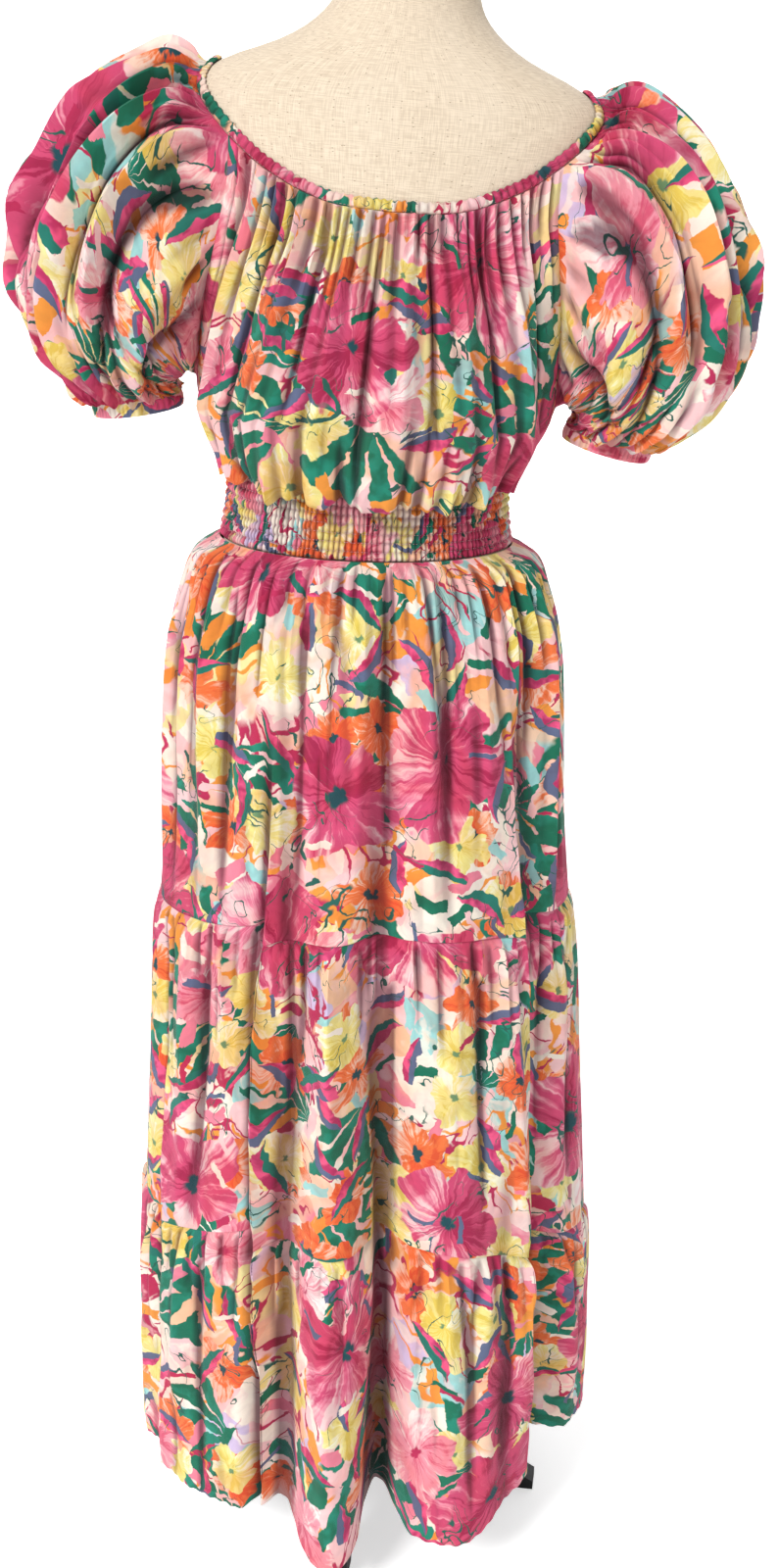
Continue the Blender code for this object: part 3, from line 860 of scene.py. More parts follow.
    def bump(self, height: Socket, distance: float, strength: float = 1.0,
             under: Optional[Socket] = None) -> Socket:
        """A bump of the given depth, on another bump if one is given.

        Args:
            height: The height.
            distance: Its depth, in metres.
            strength: How strongly it shows.
            under: The bump below it.

        Returns:
            The bump.
        """
        made = self.node("ShaderNodeBump")
        made.inputs["Distance"].default_value = distance
        made.inputs["Strength"].default_value = strength
        self.feed(made.inputs["Height"], height)
        if under is not None:
            self.feed(made.inputs["Normal"], under)
        return made.outputs[0]

    def bowed(self, local: Socket, turn: Socket, most: float) -> tuple[Socket, Socket]:
        """A place measured along and across a bowed stroke.

        Args:
            local: The place about the stroke's middle.
            turn: A random number that sets its bow.
            most: The sharpest bow.

        Returns:
            How far along it and how far across it the place lies.
        """
        east, north, _ = self.split(local)
        bow = self.math("MULTIPLY", self.math("MULTIPLY", east, east),
                        self.math("MULTIPLY_ADD", turn, 2 * most, -most))
        return east, self.math("ADD", north, bow)

    def finish(self, colour: Socket, rough: object, **others: object) -> Surface:
        """Feed the shader.

        Args:
            colour: The base colour.
            rough: The roughness.
            others: What its other sockets take, by the socket's name.

        Returns:
            The finished material.
        """
        for name, value in {"Base_Color": colour, "Roughness": rough, **others}.items():
            self.feed(self.shader.inputs[name.replace("_", " ")], value)
        return self.material


@dataclass(frozen=True)
class Motif:
    """A kind of painted shape, scattered over the print."""

    spacing: float
    jitter: float
    share: float
    offset: tuple[float, float]

    def paint(self, board: NodeBoard, place: Socket, below: Socket) -> Socket:
        """Paint these shapes over what lies below.

        Args:
            board: The material's board.
            place: The place on the cut, in metres.
            below: The colour painted so far.

        Returns:
            The colour with the shapes on it.
        """
        spot = board.spots(place, self.spacing, self.jitter, self.offset)
        inside, colour = self.shape(board, spot)
        chosen = board.math("LESS_THAN", spot.third, self.share)
        return board.mix(board.math("MULTIPLY", inside, chosen), below, colour)

    def shape(self, board: NodeBoard, spot: Spot) -> tuple[Socket, Socket]:
        """Draw one shape.

        Args:
            board: The material's board.
            spot: The nearest spot.

        Returns:
            Where the shape covers the cloth, and its colour.
        """
        raise NotImplementedError


@dataclass(frozen=True)
class Blossom(Motif):
    """One kind of painted flower in the print."""

    radius: float
    petals: int
    deep: Colour
    middle: Colour
    light: Colour
    heart: Colour
    heart_size: float = 0.20
    pale: Colour = (0.97, 0.84, 0.80)

    def shape(self, board: NodeBoard, spot: Spot) -> tuple[Socket, Socket]:
        """Draw one flower.

        Args:
            board: The material's board.
            spot: The nearest spot.

        Returns:
            Where the flower covers the cloth, and its colour.
        """
        east, north, _ = board.split(spot.local)
        turn = board.math("ARCTAN2", north, east)
        lobes = board.math("ABSOLUTE", board.math("COSINE", board.math("MULTIPLY", turn, self.petals / 2)))
        wobble = board.noise(spot.moved, 1.3 / self.radius, 2.0)
        petal = board.math("MULTIPLY_ADD", board.math("POWER", lobes, 0.5), 0.40, 0.42)
        petal = board.math("ADD", petal, board.math("MULTIPLY_ADD", wobble, 0.9, -0.38))
        size = board.math("MULTIPLY_ADD", spot.second, 0.35 * self.radius, 0.85 * self.radius)
        rim = board.math("MULTIPLY", size, petal)
        along = board.math("DIVIDE", board.vector("LENGTH", spot.local, out=1), rim)
        painted = board.ramp(self.tone(board, spot, turn, along),
                             ((0.22, self.deep), (0.42, self.middle), (0.58, self.middle), (0.74, self.light),
                              (0.92, self.pale)))
        core = board.step(along, self.heart_size + 0.05, self.heart_size - 0.02)
        ragged = board.step(board.noise(spot.moved, 2.6 / self.radius, 1.0), 0.38, 0.44)
        painted = board.mix(board.math("MULTIPLY", core, ragged), painted, self.heart)
        return board.step(along, 1.0, 0.97), painted

    def tone(self, board: NodeBoard, spot: Spot, turn: Socket, along: Socket) -> Socket:
        """How light the paint is: each petal has its own tone, streaks and wet edges.

        Args:
            board: The material's board.
            spot: The nearest spot.
            turn: The angle about its heart.
            along: How far out it lies, 1 at the rim.

        Returns:
            A number about 0 to 1.
        """
        number = board.node("ShaderNodeTexWhiteNoise", noise_dimensions="4D")
        board.feed(number.inputs["Vector"], spot.seed)
        petal = board.math("ROUND", board.math("MULTIPLY", turn, self.petals / FULL_TURN))
        board.feed(number.inputs["W"], petal)
        rays = board.vector("ADD", board.vector("SCALE", board.vector("NORMALIZE", spot.local), 5.0),
                            board.vector("SCALE", spot.seed, 40.0))
        streaks = board.noise(rays, 1.3, 3.0, 0.65)
        wash = board.noise(spot.moved, 1.0 / self.radius, 3.0, 0.55, 1.4)
        tone = board.math("ADD", board.math("MULTIPLY", streaks, 1.10),
                          board.math("MULTIPLY_ADD", wash, 1.20, -0.62))
        tone = board.math("ADD", tone, board.math("MULTIPLY_ADD", number.outputs[0], 0.44, -0.22))
        return board.math("ADD", tone, board.math("MULTIPLY_ADD", along, 0.30, -0.18))


@dataclass(frozen=True)
class Leaf(Motif):
    """One kind of two-toned pointed leaf in the print."""

    length: float
    width: float
    one_side: Colour
    other_side: Colour

    def shape(self, board: NodeBoard, spot: Spot) -> tuple[Socket, Socket]:
        """Draw one leaf.

        Args:
            board: The material's board.
            spot: The nearest spot.

        Returns:
            Where the leaf covers the cloth, and its colour.
        """
        east, bowed = board.bowed(spot.local, spot.second, 12.0)
        reach = board.math("DIVIDE", east, self.length)
        half = board.math("MULTIPLY", board.math("SUBTRACT", 1.0, board.math("MULTIPLY", reach, reach)),
                          self.width)
        spare = board.math("SUBTRACT", half, board.math("ABSOLUTE", bowed))
        lighter = tuple(min(1.0, part * 1.6 + 0.06) for part in self.one_side)
        shade = board.mix(board.step(board.noise(spot.moved, 70.0, 2.0), 0.36, 0.66), self.one_side, lighter)
        return (board.step(spare, 0.0, 0.0006),
                board.mix(board.step(bowed, -0.0004, 0.0004), shade, self.other_side))


@dataclass(frozen=True)
class Frond(Motif):
    """The palm fronds in the print, cut into blades by pale slits."""

    radius: float
    blades: float
    deep: Colour
    light: Colour

    def shape(self, board: NodeBoard, spot: Spot) -> tuple[Socket, Socket]:
        """Draw one frond.

        Args:
            board: The material's board.
            spot: The nearest spot.

        Returns:
            Where the frond covers the cloth, and its colour.
        """
        root = board.vector("ADD", spot.local, (0.45 * self.radius, 0.0, 0.0))
        east, north, _ = board.split(root)
        angle = board.math("ARCTAN2", north, east)
        wobble = board.noise(spot.moved, 26.0, 2.0)
        blades = board.math("ABSOLUTE", board.math("SINE", board.math(
            "MULTIPLY_ADD", angle, self.blades, board.math("MULTIPLY", wobble, 2.2))))
        rim = board.math("MULTIPLY", board.math("MULTIPLY_ADD", blades, 0.75, 0.55),
                         board.math("MULTIPLY_ADD", spot.second, 0.4 * self.radius, 0.9 * self.radius))
        along = board.math("DIVIDE", board.vector("LENGTH", root, out=1), rim)
        slit = board.step(board.math("SUBTRACT", blades, board.math("MULTIPLY", along, 0.30)), 0.06, 0.14)
        fan = board.step(board.math("ABSOLUTE", angle), 1.02, 0.98)
        inside = board.math("MULTIPLY", board.step(along, 1.0, 0.96), board.math("MULTIPLY", slit, fan))
        tone = board.step(board.noise(spot.moved, 45.0, 2.0), 0.42, 0.62)
        return inside, board.mix(tone, self.deep, self.light)


@dataclass(frozen=True)
class Dab(Motif):
    """Short flat brush strokes of several colours, laid all ways."""

    length: float
    width: float
    colours: tuple[Colour, ...]

    def shape(self, board: NodeBoard, spot: Spot) -> tuple[Socket, Socket]:
        """Draw one stroke.

        Args:
            board: The material's board.
            spot: The nearest spot.

        Returns:
            Where the stroke covers the cloth, and its colour.
        """
        east, bowed = board.bowed(spot.local, spot.second, 15.0)
        ends = board.math("DIVIDE", board.math("ABSOLUTE", east), self.length)
        sides = board.math("DIVIDE", board.math("ABSOLUTE", bowed), self.width)
        bristle = board.noise(board.vector("MULTIPLY", spot.local, (20.0, 420.0, 1.0)), 1.0, 2.0)
        edge = board.math("MAXIMUM", board.math("POWER", ends, 3.0), board.math("POWER", sides, 3.0))
        edge = board.math("ADD", edge, board.math("MULTIPLY_ADD", bristle, 0.9, -0.35))
        stops = [(i / len(self.colours), colour) for i, colour in enumerate(self.colours)]
        return board.step(edge, 1.0, 0.93), board.ramp(spot.second, stops, steps=True)


@dataclass(frozen=True)
class PrintedCotton:
    """Light cotton with a painted garden print, laid out for this part alone."""

    ivory: Colour = (0.95, 0.86, 0.74)
    blush: Colour = (0.95, 0.60, 0.60)
    rose: Colour = (0.85, 0.24, 0.33)
    raspberry: Colour = (0.52, 0.025, 0.10)
    peach: Colour = (0.95, 0.58, 0.36)
    tangerine: Colour = (0.90, 0.33, 0.05)
    aqua: Colour = (0.36, 0.70, 0.68)
    lemon: Colour = (0.90, 0.80, 0.36)
    lilac: Colour = (0.66, 0.54, 0.76)
    emerald: Colour = (0.006, 0.17, 0.095)
    teal: Colour = (0.010, 0.075, 0.095)
    slate: Colour = (0.12, 0.15, 0.26)
    ink: Colour = (0.02, 0.13, 0.10)
    # Painted shade: the darkest colour that troughs and fold edges are darkened towards.
    shade: Colour = (0.30, 0.22, 0.26)

    def ground(self, board: NodeBoard, place: Socket) -> Socket:
        """The patchwork of pale washes that everything is painted on.

        Args:
            board: The material's board.
            place: The place on the cut, in metres.

        Returns:
            The ground's colour.
        """
        patch = board.cells(place, 0.040, 1.0)
        pick, _, _ = board.split(patch.outputs["Color"])
        base = board.ramp(pick, (
            (0.0, self.ivory), (0.13, self.blush), (0.27, self.peach), (0.34, self.ivory), (0.44, self.rose),
            (0.52, self.aqua), (0.59, self.lemon), (0.68, self.ivory), (0.78, self.tangerine),
            (0.82, self.blush), (0.92, self.lilac), (0.96, self.raspberry)), steps=True)
        wash = board.noise(place, 22.0, 3.0, 0.55, 0.8)
        base = board.mix(board.math("MULTIPLY", board.step(wash, 0.57, 0.66), 0.70), base, self.ivory)
        base = board.mix(board.math("MULTIPLY", board.step(wash, 0.44, 0.30), 0.60), base, self.blush)
        glow = board.noise(board.vector("ADD", place, (5.0, 3.0, 0.0)), 9.0, 2.0, 0.5, 1.0)
        return board.mix(board.math("MULTIPLY", board.step(glow, 0.56, 0.68), 0.75), base, self.peach)

    def strokes(self, board: NodeBoard, place: Socket, below: Socket, scale: float, width: float,
                gate: float, colour: Colour) -> Socket:
        """Loose brush lines.

        Args:
            board: The material's board.
            place: The place on the cut, in metres.
            below: The colour painted so far.
            scale: How many lines lie in a metre.
            width: The lines' width, as a share of their spacing.
            gate: How much of the cloth they keep off, 0 to 1.
            colour: Their colour.

        Returns:
            The colour with the lines on it.
        """
        field = board.noise(place, scale, 1.0, 0.5, 1.3)
        line = board.math("ABSOLUTE", board.math("SUBTRACT", field, 0.5))
        thin = board.step(line, width, width * 0.6)
        where = board.step(board.noise(place, scale * 0.6, 1.0), gate, gate + 0.03)
        return board.mix(board.math("MULTIPLY", thin, where), below, colour)

    def motifs(self) -> Sequence[Motif]:
        """Everything painted on the ground, from the lowest layer up."""
        return (
            Frond(0.118, 0.9, 0.80, (3.10, 1.70), 0.070, 7.0, self.emerald, (0.012, 0.26, 0.17)),
            Dab(0.046, 1.0, 0.62, (1.10, 5.30), 0.020, 0.0062,
                (self.ivory, self.aqua, self.rose, self.tangerine, self.blush, self.emerald)),
            Blossom(0.100, 0.75, 0.62, (1.90, 8.30), 0.034, 5, (0.80, 0.10, 0.03), (0.88, 0.19, 0.05),
                    (0.93, 0.42, 0.26), self.teal, heart_size=0.20, pale=(0.95, 0.66, 0.52)),
            Blossom(0.088, 0.75, 0.60, (7.70, 4.10), 0.034, 4, (0.78, 0.60, 0.10), (0.88, 0.76, 0.26),
                    (0.92, 0.83, 0.44), (0.16, 0.30, 0.14), heart_size=0.12, pale=(0.95, 0.92, 0.70)),
            Leaf(0.068, 1.0, 0.58, (5.30, 2.20), 0.032, 0.0090, (0.52, 0.030, 0.13), self.slate),
            Blossom(0.135, 0.75, 0.50, (9.10, 6.50), 0.048, 5, (0.70, 0.10, 0.18), (0.86, 0.31, 0.38),
                    (0.93, 0.56, 0.57), self.raspberry, heart_size=0.15),
            Leaf(0.090, 1.0, 0.55, (2.60, 6.90), 0.036, 0.0085, (0.50, 0.030, 0.13), (0.015, 0.20, 0.15)),
            Blossom(0.225, 0.6, 0.90, (4.40, 9.70), 0.080, 5, (0.40, 0.015, 0.075), (0.65, 0.070, 0.175),
                    (0.83, 0.26, 0.36), self.teal, heart_size=0.13, pale=(0.94, 0.64, 0.63)),
            Dab(0.060, 1.0, 0.45, (6.40, 0.90), 0.016, 0.0028,
                (self.blush, self.raspberry, self.ivory, self.emerald, self.slate)),
        )

    def build(self) -> Surface:
        """Make the finish."""
        board = NodeBoard("printed_cotton", flat=True)
        cut = board.node("ShaderNodeUVMap", uv_map="cut").outputs[0]
        place = cut
        for scale, reach in ((26.0, 0.016), (130.0, 0.0035)):
            brush = board.vector("SUBTRACT", board.noise(cut, scale, 2.0, 0.6, colour=True), (0.5, 0.5, 0.5))
            place = board.vector("ADD", place, board.vector("SCALE", brush, reach))
        place = board.vector("MULTIPLY", place, (1.0, 1.0, 0.0))
        paint = self.ground(board, place)
        paint = self.strokes(board, place, paint, 13.0, 0.040, 0.50, self.tangerine)
        aside = board.vector("ADD", place, (3.0, 1.0, 0.0))
        paint = self.strokes(board, aside, paint, 16.0, 0.034, 0.52, self.raspberry)
        for motif in self.motifs():
            paint = motif.paint(board, place, paint)
        paint = self.strokes(board, place, paint, 22.0, 0.013, 0.54, self.ink)
        water = board.noise(place, 42.0, 2.0, 0.6, 0.6)
        tint = board.noise(board.vector("ADD", place, (2.0, 7.0, 0.0)), 13.0, 2.0, 0.5, 0.8)
        threads = board.noise(cut, 900.0, 1.0)
        for share, field, low, dark, high in ((1.0, water, 0.30, (0.86, 0.84, 0.86), 0.62),
                                              (1.0, tint, 0.34, (1.0, 0.80, 0.76), 0.56),
                                              (0.10, threads, 0.35, (0.75, 0.72, 0.70), 0.65)):
            paint = board.mix(share, paint, board.ramp(field, ((low, dark), (high, WHITE))), "MULTIPLY")
        # Painted shade in the troughs and beside the fold edges.
        paint = board.hollow_shade(paint, self.shade)
        crumple = board.bump(board.noise(cut, 60.0, 2.0, 0.55), 0.0016, 0.6)
        return board.finish(paint, board.math("MULTIPLY_ADD", threads, 0.12, 0.70),
                            Normal=board.bump(self.weave(board, cut), 0.00015, 0.6, crumple),
                            Specular_IOR_Level=0.28, Sheen_Weight=0.08)

    def weave(self, board: NodeBoard, cut: Socket) -> Socket:
        """The height of the plain weave's threads.

        Args:
            board: The material's board.
            cut: The place on the cut.

        Returns:
            The height.
        """
        east, north, _ = board.split(cut)
        warp = board.math("SINE", board.math("MULTIPLY", east, 9000.0))
        weft = board.math("SINE", board.math("MULTIPLY", north, 9000.0))
        return board.math("MULTIPLY", warp, weft)


@dataclass(frozen=True)
class Linen:
    """Unprinted beige linen with slubs and flecks."""

    warm: Colour = (0.62, 0.50, 0.37)
    pale: Colour = (0.78, 0.66, 0.51)
    worn: Colour = (0.80, 0.69, 0.55)
    fleck: Colour = (0.30, 0.20, 0.12)

    def build(self) -> Surface:
        """Make the finish."""
        board = NodeBoard("beige_linen")
        cut = board.node("ShaderNodeUVMap", uv_map="cut").outputs[0]
        along = board.noise(board.vector("MULTIPLY", cut, (60.0, 1100.0, 1.0)), 1.0, 2.0)
        across = board.noise(board.vector("MULTIPLY", cut, (1100.0, 60.0, 1.0)), 1.0, 2.0)
        slub = board.math("ADD", board.math("MULTIPLY", along, 0.5), board.math("MULTIPLY", across, 0.5))
        tone = board.mix(board.step(slub, 0.38, 0.62), self.warm, self.pale)
        cloud = board.noise(cut, 9.0, 2.0)
        tone = board.mix(board.math("MULTIPLY", board.step(cloud, 0.45, 0.75), 0.25), tone, self.worn)
        cell = board.cells(board.vector("MULTIPLY", cut, (1.0, 2.2, 0.0)), 0.009, 1.0)
        pick, _, _ = board.split(cell.outputs["Color"])
        dot = board.math("MULTIPLY", board.step(cell.outputs["Distance"], 0.12, 0.06),
                         board.math("LESS_THAN", pick, 0.20))
        return board.finish(board.mix(board.math("MULTIPLY", dot, 0.7), tone, self.fleck),
                            board.math("MULTIPLY_ADD", slub, 0.10, 0.80),
                            Normal=board.bump(slub, 0.0004, 0.5), Specular_IOR_Level=0.25, Sheen_Weight=0.10)


@dataclass(frozen=True)
class BlackMetal:
    """Powder-coated black steel, worn a little."""

    coat: Colour = (0.012, 0.012, 0.013)
    worn: Colour = (0.045, 0.044, 0.043)

    def build(self) -> Surface:
        """Make the finish."""
        board = NodeBoard("black_metal")
        spot = board.node("ShaderNodeTexCoord").outputs["Object"]
        grain = board.noise(spot, 900.0, 2.0)
        rub = board.noise(spot, 28.0, 4.0, 0.6)
        return board.finish(board.mix(board.step(rub, 0.55, 0.72), self.coat, self.worn),
                            board.math("MULTIPLY_ADD", rub, 0.25, 0.32),
                            Normal=board.bump(grain, 0.0002, 0.35), Metallic=0.35)


@dataclass(frozen=True)
class Thread:
    """Sewing thread."""

    name: str
    colour: Colour

    def build(self) -> Surface:
        """Make the finish."""
        board = NodeBoard(self.name)
        spot = board.node("ShaderNodeTexCoord").outputs["Object"]
        twist = board.noise(spot, 2600.0, 1.0)
        dark = tuple(0.7 * part for part in self.colour)
        return board.finish(board.mix(twist, dark, self.colour), 0.6,
                            Normal=board.bump(twist, 0.0001, 0.5), Sheen_Weight=0.2)


# Cloth pieces.


class FoldEdge(NamedTuple):
    """The edge of a fold that stands proud of the cloth beside it."""

    angle: float
    top: float
    depth: float
    proud: int


# Where the skirt's deep folds turn under: degrees, height where each starts, depth, proud side.
FOLD_EDGES = tuple(FoldEdge(*row) for row in (
    (-27, 0.97, 0.024, 1), (47, 0.97, 0.024, -1), (2, 0.66, 0.012, -1),
    (-62, 0.72, 0.010, 1), (96, 0.86, 0.012, -1), (140, 0.94, 0.017, 1),
    (176, 0.80, 0.013, -1), (222, 0.92, 0.017, -1), (256, 0.78, 0.011, 1),
))


def across_edge(edge: FoldEdge, number: int, angle: Array, height: Array) -> Array:
    """How many degrees a place lies to the proud side of a fold edge, which drifts as it falls."""
    drift = 1.6 * np.sin(9.0 * height + 2.1 * number)
    return ((np.degrees(angle) - edge.angle - drift + 180) % 360 - 180) * edge.proud


def edge_depth(angle: Array, height: Array) -> Array:
    """How far the fold edges push the skirt out, or in on their shaded side.

    Args:
        angle: Angles about the upright axis.
        height: Heights.

    Returns:
        The push, in metres.
    """
    total = np.zeros(np.broadcast_shapes(angle.shape, height.shape))
    for number, edge in enumerate(FOLD_EDGES):
        turn = across_edge(edge, number, angle, height)
        proud = ease_in(turn, -0.7, 0.7) * np.exp(-np.clip(turn, 0, None) / 9.0)
        shade = -0.35 * (1 - ease_in(turn, -0.7, 0.7)) * np.exp(np.clip(turn, None, 0) / 4.0)
        grow = ease_in(edge.top - height, 0.0, 0.34)
        total = total + edge.depth * grow * (proud + shade)
    return total


def edge_shade(angle: Array, height: Array) -> Array:
    """How deep in shade a place lies beside the fold edges, 0 to 1.

    Args:
        angle: Angles about the upright axis.
        height: Heights.

    Returns:
        The shade at each place.
    """
    total = np.zeros(np.broadcast_shapes(angle.shape, height.shape))
    for number, edge in enumerate(FOLD_EDGES):
        turn = across_edge(edge, number, angle, height)
        near = np.exp(-(np.clip(turn + 0.4, None, 0) / 2.4) ** 2) * (1 - ease_in(turn, -0.4, 0.4))
        strength = min(1.0, edge.depth / 0.018) * ease_in(edge.top - height, 0.0, 0.12)
        total = np.maximum(total, near * strength)
    return total


def stepped_seam(index: int, angle: Array) -> Array:
    """A seam's height, which breaks where a fold hides part of it.

    Args:
        index: The seam's number from the waist.
        angle: Angles about the upright axis.

    Returns:
        The heights.
    """
    level = seam_height(SEAMS[index], angle)
    if index in (0, len(SEAMS) - 1):
        return level
    total = level
    for number, edge in enumerate(FOLD_EDGES):
        turn = across_edge(edge, number, angle, level)
        low = -0.45 * ease_in(turn, -0.7, 0.7) * np.exp(-np.clip(turn, 0, None) / 13.0)
        high = 0.35 * (1 - ease_in(turn, -0.7, 0.7)) * np.exp(np.clip(turn, None, 0) / 9.0)
        total = total + edge.depth * ease_in(edge.top - level, 0.0, 0.20) * (low + high)
    return total


@dataclass
class Tier:
    """One tier of the skirt: a front and a back panel, gathered onto the seam above."""

    index: int
    surface: Surface
    flat: tuple[float, float]
    gathers: int
    columns: int = 232
    rows: int = 62
    hem_turning: float = 0.0006

    def is_last(self) -> bool:
        """Whether this tier ends in the hem."""
        return self.index == len(SEAMS) - 2

    def creases(self, middle: float) -> list[Crease]:
        """The tier's small gathers and long soft drapes, in degrees across.

        Args:
            middle: The angle of the panel's middle.

        Returns:
            The creases.
        """
        seed = 100 + 10 * self.index + (1 if middle == BACK else 0)
        fine = scattered(seed, self.gathers, (-90, 90), (0.7, 1.3), (0.12, 0.42), (0.0020, 0.0044), 1.2)
        some = scattered(seed + 3, self.gathers // 3, (-90, 90), (1.2, 2.4), (0.4, 0.95), (0.0028, 0.0062),
                         3.0)
        long = scattered(seed + 5, 15, (-88, 88), (2.0, 4.2), (0.8, 1.3), (0.0054, 0.0098), 4.0, (0.0, 0.1))
        rising = scattered(seed + 7, 10, (-88, 88), (1.4, 3.2), (0.4, 0.7), (0.0016, 0.0038), 3.0,
                           (0.35, 0.5))
        return fine + some + long + rising

    def surface_points(self, middle: float, spread: Array, down: Array) -> Array:
        """The outer points of one panel.

        Args:
            middle: The angle of the panel's middle.
            spread: Place across the panel, -1 to 1.
            down: Place down the panel, 0 to 1.

        Returns:
            The points, about the upright axis.
        """
        angle = panel_angle(middle, spread)
        top = stepped_seam(self.index, angle) - SEAM_GAP / 2
        bottom = stepped_seam(self.index + 1, angle) + SEAM_GAP / 2
        level = top + (bottom - top) * down
        places, puffs, shares = (list(part) for part in zip(*TIER_ROWS))
        if self.is_last():
            shares[-1] = LAST_ROW_GATHER
        puff, share = (SmoothCurve(places, part)(down) for part in (puffs, shares))
        column = (spread + 1) / 2 * TIER_COLUMNS
        edge = np.clip(np.minimum(column, TIER_COLUMNS - column) / 3, 0, 1)
        folds = fold_depth(angle, level)
        turned = edge_depth(angle, level)
        across = np.degrees(angle - middle)
        fine = crease_depth(self.creases(middle), across, down)
        hold = 1.0 if self.is_last() else 1 - 0.75 * ease_in(down, 0.93, 1.0)
        arc = (angle - middle) * 0.2
        dents = 0.0009 * ripple_noise(self.index * 7 + int(middle), arc, down * 0.36)
        dents = dents * ease_in(down, 0.0, 0.2)
        wave = 0.75 * gather(column + 2 * self.index, share * TIER_GATHERS[self.index])
        tuck = -0.0018 * (1 - ease_in(down, 0.0, 0.02)) * (self.index > 0)
        bulge = folds + turned + puff + (wave + fine + dents) * hold * edge + tuck
        points = SKIRT.point(angle, level) + SKIRT.outward(angle, level) * bulge[..., None]
        if self.is_last():
            points[..., 2] -= HEM_DIP * (folds + 0.6 * turned) * down ** 2
            points[..., 2] += 0.0012 * np.sin(across * 1.9) * down ** 6
        return points

    def panel(self, middle: float, name: str) -> Thing:
        """Make one panel of the tier.

        Args:
            middle: The angle of the panel's middle.
            name: The panel's name.

        Returns:
            The panel.
        """
        spread = np.linspace(-1, 1, self.columns + 1)[None, :]
        down = (np.linspace(0, 1, self.rows + 1) ** 1.25)[:, None]
        outer = self.surface_points(middle, spread, down)
        meet_sides(outer, middle)
        inner = outer - grid_normals(outer, False) * SHELL
        meet_sides(inner, middle)
        if self.is_last():
            turn = ease_in(down[:, 0], 0.952, 0.958)[:, None, None]
            inner = inner - grid_normals(outer, False) * self.hem_turning * turn
        cut = flat_cut(outer, (1.37 * self.index + 0.4 + (0.9 if middle == BACK else 0.0), 2.1 * self.index))
        # Painted shade beside the fold edges, added to the painted shade of the troughs.
        shade = edge_shade(panel_angle(middle, spread), outer[..., 2])
        return shell(name, outer, inner, cut, painted_shade=np.clip(trough_shade(outer, inner) + 0.75 * shade, 0, 1))

    def build(self) -> None:
        """Make both panels of the tier."""
        for middle, word in ((FRONT, "front"), (BACK, "back")):
            node = f"tier_{self.index + 1}_{word}"
            piece = self.panel(middle, f"skirt_{node}")
            declare(piece, Slot.PRINT, self.surface, node)


def panel_angle(middle: float, spread: Array) -> Array:
    """The angle of places across a tier's panel, closer together at its middle."""
    return middle + math.pi / 2 * (0.8 * spread + 0.2 * spread ** 3)


def meet_sides(grid: Array, middle: float, rows: object = slice(None)) -> None:
    """Put a panel's two upright edges on the side seams, a hair clear of the other panel."""
    grid[rows, 0, 1] = grid[rows, -1, 1] = SIDE_GAP / 2 if middle == BACK else -SIDE_GAP / 2


def flat_cut(grid: Array, place: tuple[float, float], all_round: bool = False,
             fullness: float = 1.0) -> Array:
    """Where each point of a gathered piece lies on its flat cut.

    Args:
        grid: The piece's points, rows going down.
        place: Where the piece was laid on the printed cloth, in metres.
        all_round: Whether the last column joins the first, which adds one column of places.
        fullness: How much wider the cut is than the piece where it is widest.

    Returns:
        The places, in metres.
    """
    closed = np.concatenate([grid, grid[:, :1]], axis=1) if all_round else grid
    widths = arc_lengths(smoothed(closed), 1)
    widest = widths[np.argmax(widths[:, -1])]
    middle = widths.mean(axis=0) / max(widths.mean(axis=0)[-1], 1e-9) * widest[-1]
    drop = arc_lengths(grid, 0).mean(axis=1)
    across = np.broadcast_to(fullness * middle[None, :], closed.shape[:2])
    below = np.broadcast_to(-drop[:, None], closed.shape[:2])
    return np.stack([across + place[0], below + place[1]], axis=-1)


def smoothed(grid: Array, reach: int = 6) -> Array:
    """The same grid with its small gathers averaged out along its rows.

    Args:
        grid: Points by row and column.
        reach: How many columns either way are averaged.

    Returns:
        The points.
    """
    wide = np.pad(grid, ((0, 0), (reach, reach), (0, 0)), mode="edge")
    total = sum(wide[:, i:i + grid.shape[1]] for i in range(2 * reach + 1))
    return total / (2 * reach + 1)


def neck_frame(angle: Array) -> tuple[Array, Array, Array]:
    """The neckline's point on the form, the way out, and the way down off its casing.

    Args:
        angle: Angles round the neckline.

    Returns:
        Three arrays of points or directions.
    """
    def height(at: Array) -> Array:
        """The height of the casing's middle."""
        return NECK_HEIGHT(np.abs((np.degrees(at) + 180) % 360 - 180))

    here = FORM.point(angle, height(angle))
    step = 0.01
    along = FORM.point(angle + step, height(angle + step)) - FORM.point(angle - step, height(angle - step))
    out = FORM.normal(angle, height(angle))
    down = unit(np.cross(along, out))
    down = np.where(down[..., 2:] > 0, -down, down)
    return here, out, down


def neck_seam(angle: Array, ease: Array) -> Array:
    """A point on the seam just below the casing, clear of the form by the ease."""
    here, out, down = neck_frame(angle)
    return here + down * (CASING_HALF_WIDTH + SEAM_GAP) + out * np.asarray(ease)[..., None]


